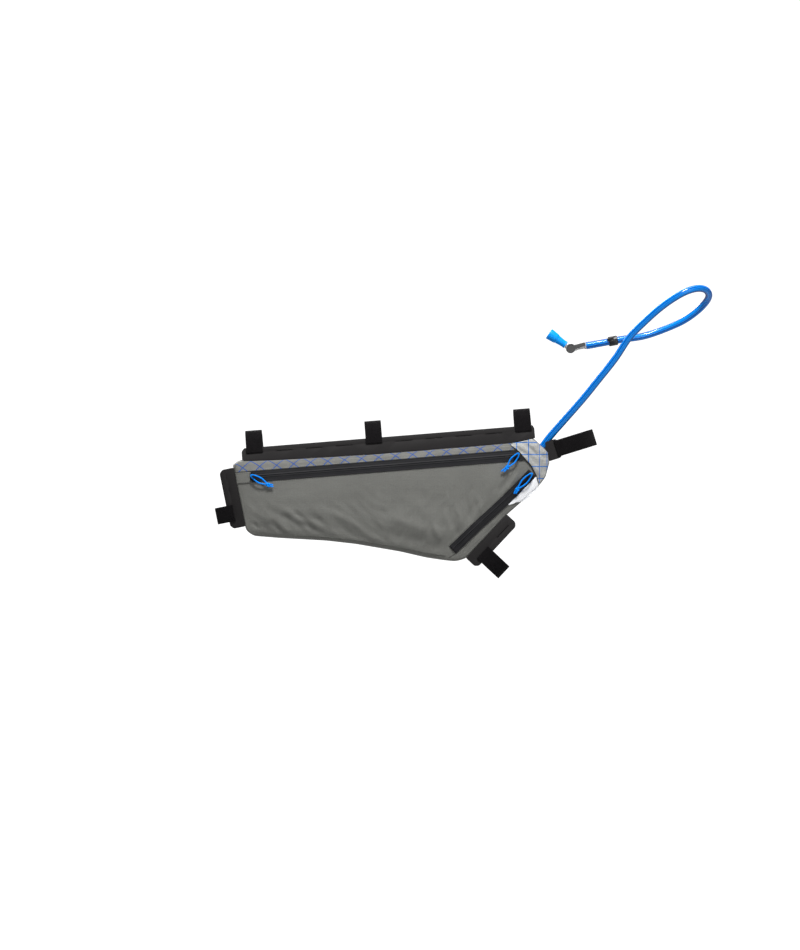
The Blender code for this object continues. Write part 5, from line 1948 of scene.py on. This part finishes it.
@dataclass
class Pulls:
    """The sliders and their knotted cord loops."""

    form: PouchForm
    shop: Workshop
    slider_length: float = 0.0095
    slider_width: float = 0.0074
    slider_height: float = 0.0022
    slider_taper: float = 0.34
    slider_round: float = 0.0008
    bail_length: float = 0.0062
    bail_rise: float = 0.0048
    bail_radius: float = 0.0008
    cord_radius: float = 0.0011
    knot_size: float = 0.00082
    eye_back: float = 0.0028
    seat: float = 0.0020

    def build_one(self, pull: PullSpot, line: list[Vector]) -> None:
        """Build one slider with its pull.

        Args:
            pull: its place.
            line: the zip's middle line.
        """
        spot, side = place_on(line, pull.share)
        base = self.form.surface(spot, lift=self.seat)
        run = Vector((side.y, 0.0, -side.x))
        across = Vector((side.x, 0.0, side.y))
        hang = Vector((pull.knot_ahead, 0.0, -pull.knot_down)).normalized()
        self.build_slider(pull.name, base, (run, across, OUTWARD), hang)
        self.build_cord(pull, spot, base, hang)

    def build_slider(
        self, name: str, base: Vector, axes: tuple[Vector, Vector, Vector], hang: Vector
    ) -> None:
        """The slider's body and bail.

        Args:
            name: which slider.
            base: the middle of its underside.
            axes: along the zip, across it and outwards.
            hang: the direction in which the bail lies.
        """
        run, across, out = axes
        frame_matrix = Matrix((run, across, out)).transposed().to_4x4()
        edit = bmesh.new()
        size = Matrix.Diagonal((self.slider_length, self.slider_width, self.slider_height, 1.0))
        middle = Matrix.Translation(base + out * self.slider_height / 2.0)
        bmesh.ops.create_cube(edit, size=1.0, matrix=middle @ frame_matrix @ size)
        for vert in edit.verts:
            off = vert.co - base
            if off.dot(run) < 0.0:
                vert.co -= across * off.dot(across) * self.slider_taper
        round_edges(edit, edit.edges, self.slider_round, 3)
        arch = []
        for turn in spread(0.0, math.pi, 15):
            arch.append(
                base
                + hang * math.cos(turn) * self.bail_length / 2.0
                + out * (self.slider_height + math.sin(turn) * self.bail_rise - 0.0004)
            )
        bail = sweep(arch, [self.bail_radius] * len(arch), 10)
        merge_into(edit, bail)
        self.shop.piece(f"{name}_slider_body", edit, ENAMEL, "slider_metal", (f"{name}_slider",))

    def build_cord(self, pull: PullSpot, spot: Vector, base: Vector, hang: Vector) -> None:
        """The cord through the bail, its knot and its tails.

        Args:
            pull: the pull's place.
            spot: the slider in the side view.
            base: the slider's underside.
            hang: the direction in which the cord hangs.
        """
        out = OUTWARD
        knot_flat = spot + Vector((pull.knot_ahead, -pull.knot_down))
        knot = self.form.surface(knot_flat, lift=self.seat + 0.0024)
        eye = base + out * (self.slider_height + self.bail_rise * 0.45) - hang * self.eye_back
        toward = (knot - eye).normalized()
        across = toward.cross(out).normalized()
        mid = eye.lerp(knot, 0.52)
        bow = self.cord_radius * 3.6
        knots = [
            knot - toward * 0.0015 + across * 0.0006,
            mid + across * bow + out * 0.0006,
            eye + toward * 0.0030 + across * self.cord_radius * 2.2,
            eye - toward * 0.0012 + across * 0.0004,
            eye - toward * 0.0012 - across * 0.0004,
            eye + toward * 0.0030 - across * self.cord_radius * 2.2,
            mid - across * bow + out * 0.0002,
            knot - toward * 0.0015 - across * 0.0006,
        ]
        line = even_line(smooth_line(knots, 8), 60)
        edit = sweep(line, [self.cord_radius] * len(line), 10)
        merge_into(edit, self.build_knot(knot, toward, across, out))
        for sign in (1.0, -1.0):
            end = knot + Vector((pull.tail_ahead, 0.0, -pull.tail_down)) * (1.0 + 0.12 * sign)
            tip = end + across * sign * 0.0013
            bent = [knot, knot.lerp(tip, 0.5) + across * sign * 0.0008, tip]
            tail = even_line(smooth_line(bent, 6), 10)
            radii = [self.cord_radius] * (len(tail) - 1) + [self.cord_radius * 0.8]
            merge_into(edit, sweep(tail, radii, 10))
        self.shop.piece(f"{pull.name}_cord_pull", edit, PULL_CORD, "blue_cord", (f"{pull.name}_pull",))

    def build_knot(self, centre: Vector, toward: Vector, across: Vector, out: Vector) -> Mesh:
        """An overhand knot pulled tight.

        Args:
            centre: its middle.
            toward: along the cord.
            across: across it.
            out: away from the pouch.

        Returns:
            Its mesh.
        """
        line = []
        for turn in spread(0.0, math.tau, 61):
            x = math.sin(turn) + 2.0 * math.sin(2.0 * turn)
            y = math.cos(turn) - 2.0 * math.cos(2.0 * turn)
            z = -math.sin(3.0 * turn)
            line.append(centre + (toward * x * 1.25 + across * y + out * z) * self.knot_size)
        return sweep(line, [self.cord_radius] * len(line), 10)

    def build(self, zips: Zips) -> None:
        """Build all three.

        Args:
            zips: the zips that they run on.
        """
        for pull in UPPER_PULLS:
            self.build_one(pull, zips.upper_line())
        for pull in LOWER_PULLS:
            self.build_one(pull, zips.lower_line())


@dataclass
class Webbing:
    """Flanges and straps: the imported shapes, with rounded edges and slot ends."""

    shop: Workshop
    slot_round: float = 0.0005
    near_slot_closing: float = 0.22
    far_slot_closing: float = 0.46
    corner_round: float = 0.0022
    edge_round: float = 0.0004
    rim_degrees: float = 60.0
    plate: float = 0.0015

    @staticmethod
    def merged(node: str) -> Mesh:
        """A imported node's mesh with its triangles joined.

        Args:
            node: the node's name.

        Returns:
            The mesh.
        """
        edit = bmesh.new()
        edit.from_mesh(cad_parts[node].data)
        bmesh.ops.remove_doubles(edit, verts=edit.verts, dist=1e-5)
        bmesh.ops.dissolve_limit(
            edit,
            angle_limit=math.radians(0.4),
            use_dissolve_boundaries=False,
            verts=edit.verts,
            edges=edit.edges,
        )
        return edit

    def narrow_slots(self, inner: Edges, closing: float) -> None:
        """Bring the lips of each slot together, as those of a slit in cloth are.

        Args:
            inner: the edges at the slots' corners.
            closing: the share of the slot's width by which each lip moves.
        """
        corners = {vert for edge in inner for vert in edge.verts}
        moved = {}
        for vert in corners:
            level = [
                other
                for other in corners
                if other is not vert and abs(other.co.y - vert.co.y) < self.plate / 2.0
            ]
            if level:
                mate = min(level, key=lambda other: (other.co - vert.co).length)
                moved[vert] = vert.co.lerp(mate.co, closing)
        for vert, place in moved.items():
            vert.co = place

    def build_flange(self, node: str) -> None:
        """One flange.

        Args:
            node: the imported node.
        """
        edit = self.merged(node)
        through = [
            edge
            for edge in sharp_edges(edit, 30.0)
            if 0.6 * self.plate < edge.calc_length() < 1.5 * self.plate
        ]
        inner = [edge for edge in through if not edge.is_convex]
        near = node.endswith("near")
        self.narrow_slots(inner, self.near_slot_closing if near else self.far_slot_closing)
        outer = [edge for edge in through if edge.is_convex]
        if inner and near:
            round_edges(edit, inner, self.slot_round, 4)
        outer = [edge for edge in outer if edge.is_valid]
        if outer:
            round_edges(edit, outer, self.corner_round, 4)
        round_edges(edit, sharp_edges(edit, self.rim_degrees), self.edge_round, 2)
        edit.loops.layers.uv.verify()
        self.shop.piece(f"{node}_plate", edit, RUBBER, "flange_rubber", (node,), sharp=50.0)

    def build_strap(self, node: str) -> None:
        """One strap.

        Args:
            node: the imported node.
        """
        edit = self.merged(node)
        round_edges(edit, sharp_edges(edit, self.rim_degrees), self.edge_round, 2)
        strap = self.shop.piece(f"{node}_web", edit, STRAP, "strap_web", (node,), sharp=60.0)
        smooth = strap.modifiers.new("smooth", "SUBSURF")
        smooth.levels = 1
        smooth.render_levels = 1

    def build(self) -> None:
        """Build all flanges and straps."""
        for tube in ("top_tube", "seat_tube", "down_tube", "head_tube"):
            for side in Side:
                self.build_flange(f"{tube}_flange_{side.name.lower()}")
        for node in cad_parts:
            if "strap" in node:
                self.build_strap(node)


@dataclass
class Hose:
    """The drink hose, its clip and its valve."""

    shop: Workshop
    diameter: float = 0.0105
    sides: int = 28
    rings: int = 420
    easing: int = 60
    barb_pitch: float = 0.0042
    barb_reach: float = 0.0147
    barb_rise: float = 0.00035
    elbow_length: float = 0.0233
    elbow_radius: float = 0.0047
    elbow_neck: float = 0.0085
    elbow_turn: float = math.radians(43.8)
    cup_radius: float = 0.0074
    hub_radius: float = 0.0068
    hub_height: float = 0.0032
    lever_length: float = 0.0225
    lever_width: float = 0.0062
    lever_tip: float = 0.0052
    lever_rise: float = math.radians(17.0)
    bite_length: float = 0.031
    bite_base: float = 0.0057
    bite_mouth: float = 0.0085
    gap: float = 0.0003

    def __post_init__(self) -> None:
        """Work out the valve's corner and directions."""
        end, before = Vector(HOSE_ROUTE[-1]), Vector(HOSE_ROUTE[-2])
        self.run = (end - before).normalized()
        self.mouth = Matrix.Rotation(self.elbow_turn, 3, "Y") @ self.run
        self.start = end + self.run * self.gap
        self.corner = self.start + self.run * self.elbow_length
        self.out = OUTWARD

    def route(self) -> list[Vector]:
        """The tube's middle line, eased so that its bends have no kinks.

        Returns:
            Its points, evenly spaced.
        """
        line = even_line(smooth_line([Vector(p) for p in HOSE_ROUTE], 12), self.rings)
        for _ in range(self.easing):
            line[1:-1] = [(a + b * 2.0 + c) / 4.0 for a, b, c in zip(line, line[1:], line[2:])]
        return even_line(line, self.rings)

    def build_tube(self) -> None:
        """The tube itself.
        """
        route = self.route()
        length = line_length(route)
        radii = []
        for i in range(len(route)):
            left = length * (1.0 - i / (len(route) - 1))
            wave = math.cos(math.tau * left / self.barb_pitch) if left < self.barb_reach else -1.0
            radii.append(self.diameter / 2.0 + self.barb_rise * (wave + 1.0) / 2.0)
        # The map starts on the outward side all along, so the finish's painted light and dark bands stay
        # turned to that side.
        edit = sweep(route, radii, self.sides, self.out)
        tube = self.shop.piece("drink_hose", edit, TUBE, "blue_tube", ("hose",))

    def build_elbow(self) -> bpy.types.Object:
        """The clear elbow: barbed collar, cup behind the lever and neck."""
        collar = [
            (0.0, 0.0),
            (self.elbow_radius - 0.0004, 0.0),
            (self.elbow_radius + 0.0001, 0.0006),
            (self.elbow_radius + 0.0001, 0.0024),
            (self.elbow_radius - 0.0007, 0.0032),
            (self.elbow_radius - 0.0007, 0.0120),
            (self.elbow_radius, 0.0150),
            (self.elbow_radius, self.elbow_length - 0.001),
            (0.0, self.elbow_length - 0.001),
        ]
        edit = turned(collar, self.start, self.run, 32)
        neck = [
            (0.0, 0.0),
            (self.elbow_radius, 0.0),
            (self.elbow_radius - 0.0003, self.elbow_neck - 0.0006),
            (self.elbow_radius - 0.0008, self.elbow_neck),
            (0.0, self.elbow_neck),
        ]
        merge_into(edit, turned(neck, self.corner, self.mouth, 32))
        deep = self.elbow_radius
        cup = [
            (0.0, -deep + 0.0002),
            (self.cup_radius - 0.0022, -deep + 0.0002),
            (self.cup_radius - 0.0006, -deep + 0.0012),
            (self.cup_radius, -deep + 0.0030),
            (self.cup_radius, deep - 0.0006),
            (self.cup_radius - 0.0005, deep - 0.0001),
            (0.0, deep - 0.0001),
        ]
        merge_into(edit, turned(cup, self.corner, self.out, 40))
        return self.shop.piece("clear_elbow", edit, CLEAR_PLASTIC, "clear_plastic", ("elbow_valve",))

    def build_lever(self) -> bpy.types.Object:
        """The dark lever: a round hub with a ring, and its arm."""
        base = self.corner + self.out * (self.elbow_radius + self.gap)
        hub = [
            (0.0, 0.0),
            (self.hub_radius - 0.0004, 0.0),
            (self.hub_radius, 0.0004),
            (self.hub_radius, self.hub_height - 0.0008),
            (self.hub_radius - 0.0007, self.hub_height),
            (self.hub_radius - 0.0019, self.hub_height),
            (self.hub_radius - 0.0022, self.hub_height - 0.0003),
            (0.0, self.hub_height - 0.0002),
        ]
        edit = turned(hub, base, self.out, 40)
        arm_run = Matrix.Rotation(-self.lever_rise, 3, "Y") @ Vector((1.0, 0.0, 0.0))
        side = arm_run.cross(self.out)
        arm = bmesh.new()
        place = Matrix((arm_run, side, self.out)).transposed().to_4x4()
        length = self.lever_length - self.hub_radius * 0.5
        shape = Matrix.Diagonal((length, self.lever_width, 0.0028, 1.0))
        middle = base + arm_run * (self.hub_radius * 0.5 + length / 2.0) + self.out * 0.0015
        bmesh.ops.create_cube(arm, size=1.0, matrix=Matrix.Translation(middle) @ place @ shape)
        bmesh.ops.subdivide_edges(arm, edges=arm.edges, cuts=3, use_grid_fill=True)
        for vert in arm.verts:
            off = vert.co - base
            share = ramp(off.dot(arm_run), 0.010, self.lever_length)
            vert.co -= side * off.dot(side) * (1.0 - self.lever_tip / self.lever_width) * share
            vert.co -= self.out * max(0.0, off.dot(self.out) - 0.0010) * 0.45 * share
        round_edges(arm, sharp_edges(arm, 50.0), 0.0006, 3)
        merge_into(edit, arm)
        return self.shop.piece(
            "shut_off_lever", edit, DARK_PLASTIC, "dark_plastic", ("valve_lever",), body=LEVER_BODY
        )

    def build_mouthpiece(self) -> bpy.types.Object:
        """The soft mouthpiece: slim base, shoulder, and a rim round a recessed face."""
        base = self.corner + self.mouth * (self.elbow_neck + self.gap)
        long, slim, wide = self.bite_length, self.bite_base, self.bite_mouth
        profile = [
            (0.0, 0.0),
            (slim - 0.0006, 0.0),
            (slim, 0.0006),
            (slim, 0.0022),
            (slim - 0.0005, 0.0028),
            (slim, long * 0.30),
            (slim + 0.0007, long * 0.50),
            (slim + 0.0011, long * 0.535),
            (wide - 0.0012, long * 0.56),
            (wide - 0.0010, long * 0.60),
            (wide, long * 0.95),
            (wide - 0.0004, long * 0.99),
            (wide - 0.0011, long),
            (wide - 0.0018, long * 0.99),
            (wide - 0.0024, long - 0.0022),
            (0.0, long - 0.0016),
        ]
        edit = turned(profile, base, self.mouth, 40)
        return self.shop.piece("mouthpiece", edit, SILICONE, "blue_silicone", ("bite_valve",))

    def build_clip(self) -> bpy.types.Object:
        """The black clip: a sleeve round the hose, a block on it and a flat foot behind."""
        route = self.route()
        low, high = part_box("hose_clip")
        clip_x = (low.x + high.x) / 2.0
        last_part = range(len(route) * 3 // 4, len(route) - 1)
        k = min(last_part, key=lambda i: abs(route[i].x - clip_x))
        run = (route[k + 1] - route[k - 1]).normalized()
        middle = route[k]
        inner, outer, half = self.diameter / 2.0 + 0.0004, self.diameter / 2.0 + 0.0020, 0.0065
        sleeve = [
            (inner, -half),
            (outer - 0.0004, -half),
            (outer, -half + 0.0004),
            (outer, half - 0.0004),
            (outer - 0.0004, half),
            (inner, half),
            (inner, -half),
        ]
        edit = turned(sleeve, middle, run, 32)
        up = run.cross(BESIDE).normalized()
        blocks = (
            (0.0, 0.0, high.y - middle.y - 0.0028, 0.0125, 0.0095, 0.0056),
            (-0.0008, 0.0022, -outer + 0.0006, 0.0108, 0.0062, 0.0030),
            (0.0035, -0.0030, -outer + 0.0016, 0.0100, 0.0046, 0.0030),
        )
        for along, rise, beside, length, height, depth in blocks:
            block = bmesh.new()
            turn = Matrix((run, up, BESIDE)).transposed().to_4x4()
            spot = middle + run * along + up * rise + BESIDE * beside
            size = Matrix.Diagonal((length, height, depth, 1.0))
            bmesh.ops.create_cube(block, size=1.0, matrix=Matrix.Translation(spot) @ turn @ size)
            round_edges(block, block.edges, 0.0006, 2)
            merge_into(edit, block)
        return self.shop.piece("hose_holder", edit, BLACK_PLASTIC, "black_plastic", ("hose_clip",))

    def build(self) -> None:
        """Build the hose and all that is on it."""
        pieces = [self.build_elbow(), self.build_lever(), self.build_mouthpiece(), self.build_clip()]
        self.build_tube()


@dataclass(frozen=True)
class SoftLight:
    """A square light that looks at the bag: its place and width in metres, its power in watts."""

    name: str
    place: tuple[float, float, float]
    size: float
    power: float


SOFT_LIGHTS = (
    SoftLight("key", (0.4, -2.3, 3.9), 0.9, 290.0),
    SoftLight("fill", (2.6, -3.6, 0.4), 2.4, 40.0),
    SoftLight("overhead", (0.2, 0.3, 3.2), 2.0, 40.0),
    SoftLight("rear", (-0.9, 3.4, 2.4), 1.8, 110.0),
)


@dataclass
class Studio:
    """Camera, lights and the pale surroundings."""

    lens: float = 141.5
    sensor: float = 36.0
    camera_back: float = -5.628
    view_x: float = 0.0398
    view_z: float = -0.0603
    floor: float = -0.62
    reach: float = 9.0
    curve: float = 3.0
    height: float = 7.0
    backdrop_glow: float = 0.93
    room_glow: float = 0.12
    wall_grey: float = 0.25
    world_glow: float = 0.25
    aim: tuple[float, float, float] = (0.05, 0.0, -0.05)

    def build_camera(self) -> None:
        """The camera square to the bag's side."""
        data = bpy.data.cameras.new("camera")
        data.sensor_width = self.sensor
        data.lens = self.lens
        data.clip_end = 100.0
        camera = bpy.data.objects.new("camera", data)
        camera.location = (self.view_x, self.camera_back, self.view_z)
        camera.rotation_euler = (math.radians(90.0), 0.0, 0.0)
        bpy.context.scene.collection.objects.link(camera)
        bpy.context.scene.camera = camera

    def build_bowl(self) -> None:
        """A white floor that curves up into a round wall."""
        flat = self.reach - self.curve
        profile = [(0.0, 0.0), (flat, 0.0)]
        for turn in spread(0.0, math.pi / 2.0, 12)[1:]:
            radius = flat + math.sin(turn) * self.curve
            profile.append((radius, self.curve - math.cos(turn) * self.curve))
        profile.append((self.reach, self.height))
        edit = spun([(radius, height + self.floor) for radius, height in profile], 96, 1e-5)
        bmesh.ops.recalc_face_normals(edit, faces=edit.faces)
        mesh = bpy.data.meshes.new("studio_bowl")
        edit.to_mesh(mesh)
        edit.free()
        mesh.shade_smooth()
        bowl = bpy.data.objects.new("studio_bowl", mesh)
        bpy.context.scene.collection.objects.link(bowl)
        mesh.materials.append(self.build_white())

    def build_white(self) -> bpy.types.Material:
        """The surroundings' white, which shines more to the camera than on the bag.

        Returns:
            The material.
        """
        white = Dresser("studio_white", from_uv=False)
        grey = self.wall_grey
        white.set(Base_Color=(grey, grey, grey, 1.0), Roughness=0.9, Specular_IOR_Level=0.1)
        white.set(Emission_Color=(1.0, 1.0, 1.0, 1.0))
        rays = white.tree.add("ShaderNodeLightPath")
        seen = white.tree.math("MULTIPLY", rays.outputs["Is Camera Ray"], self.backdrop_glow)
        glow = white.tree.math("ADD", seen, self.room_glow)
        white.tree.feed(white.shader.inputs["Emission Strength"], glow)
        return white.material

    def build_light(self, chosen: SoftLight) -> None:
        """Place a light.

        Args:
            chosen: its row in the table.
        """
        data = bpy.data.lights.new(chosen.name, "AREA")
        data.size = chosen.size
        data.energy = chosen.power
        light = bpy.data.objects.new(chosen.name, data)
        light.location = chosen.place
        aim = Vector(self.aim) - Vector(chosen.place)
        light.rotation_euler = aim.to_track_quat("-Z", "Y").to_euler()
        light.visible_camera = False
        bpy.context.scene.collection.objects.link(light)

    def build(self) -> None:
        """Build the studio."""
        self.build_camera()
        self.build_bowl()
        for chosen in SOFT_LIGHTS:
            self.build_light(chosen)
        world = bpy.data.worlds.new("world")
        world.use_nodes = True
        sky = world.node_tree.nodes["Background"]
        sky.inputs["Color"].default_value = (1.0, 1.0, 1.0, 1.0)
        sky.inputs["Strength"].default_value = self.world_glow
        bpy.context.scene.world = world
        bpy.context.scene.view_settings.view_transform = "Standard"


def main() -> None:
    """Build the studio and dress every part."""
    logging.basicConfig(level=logging.INFO, format="%(name)s: %(message)s")
    Studio().build()
    shop = Workshop(Wardrobe())
    form = PouchForm()
    Hose(shop).build()
    zips = Zips(form, shop)
    Pouch(form, shop).build([zips.upper_line(), zips.lower_line()])
    Panels(form, shop, zips).build()
    zips.build()
    Pulls(form, shop).build(zips)
    Webbing(shop).build()


if __name__ == "__main__":
    main()
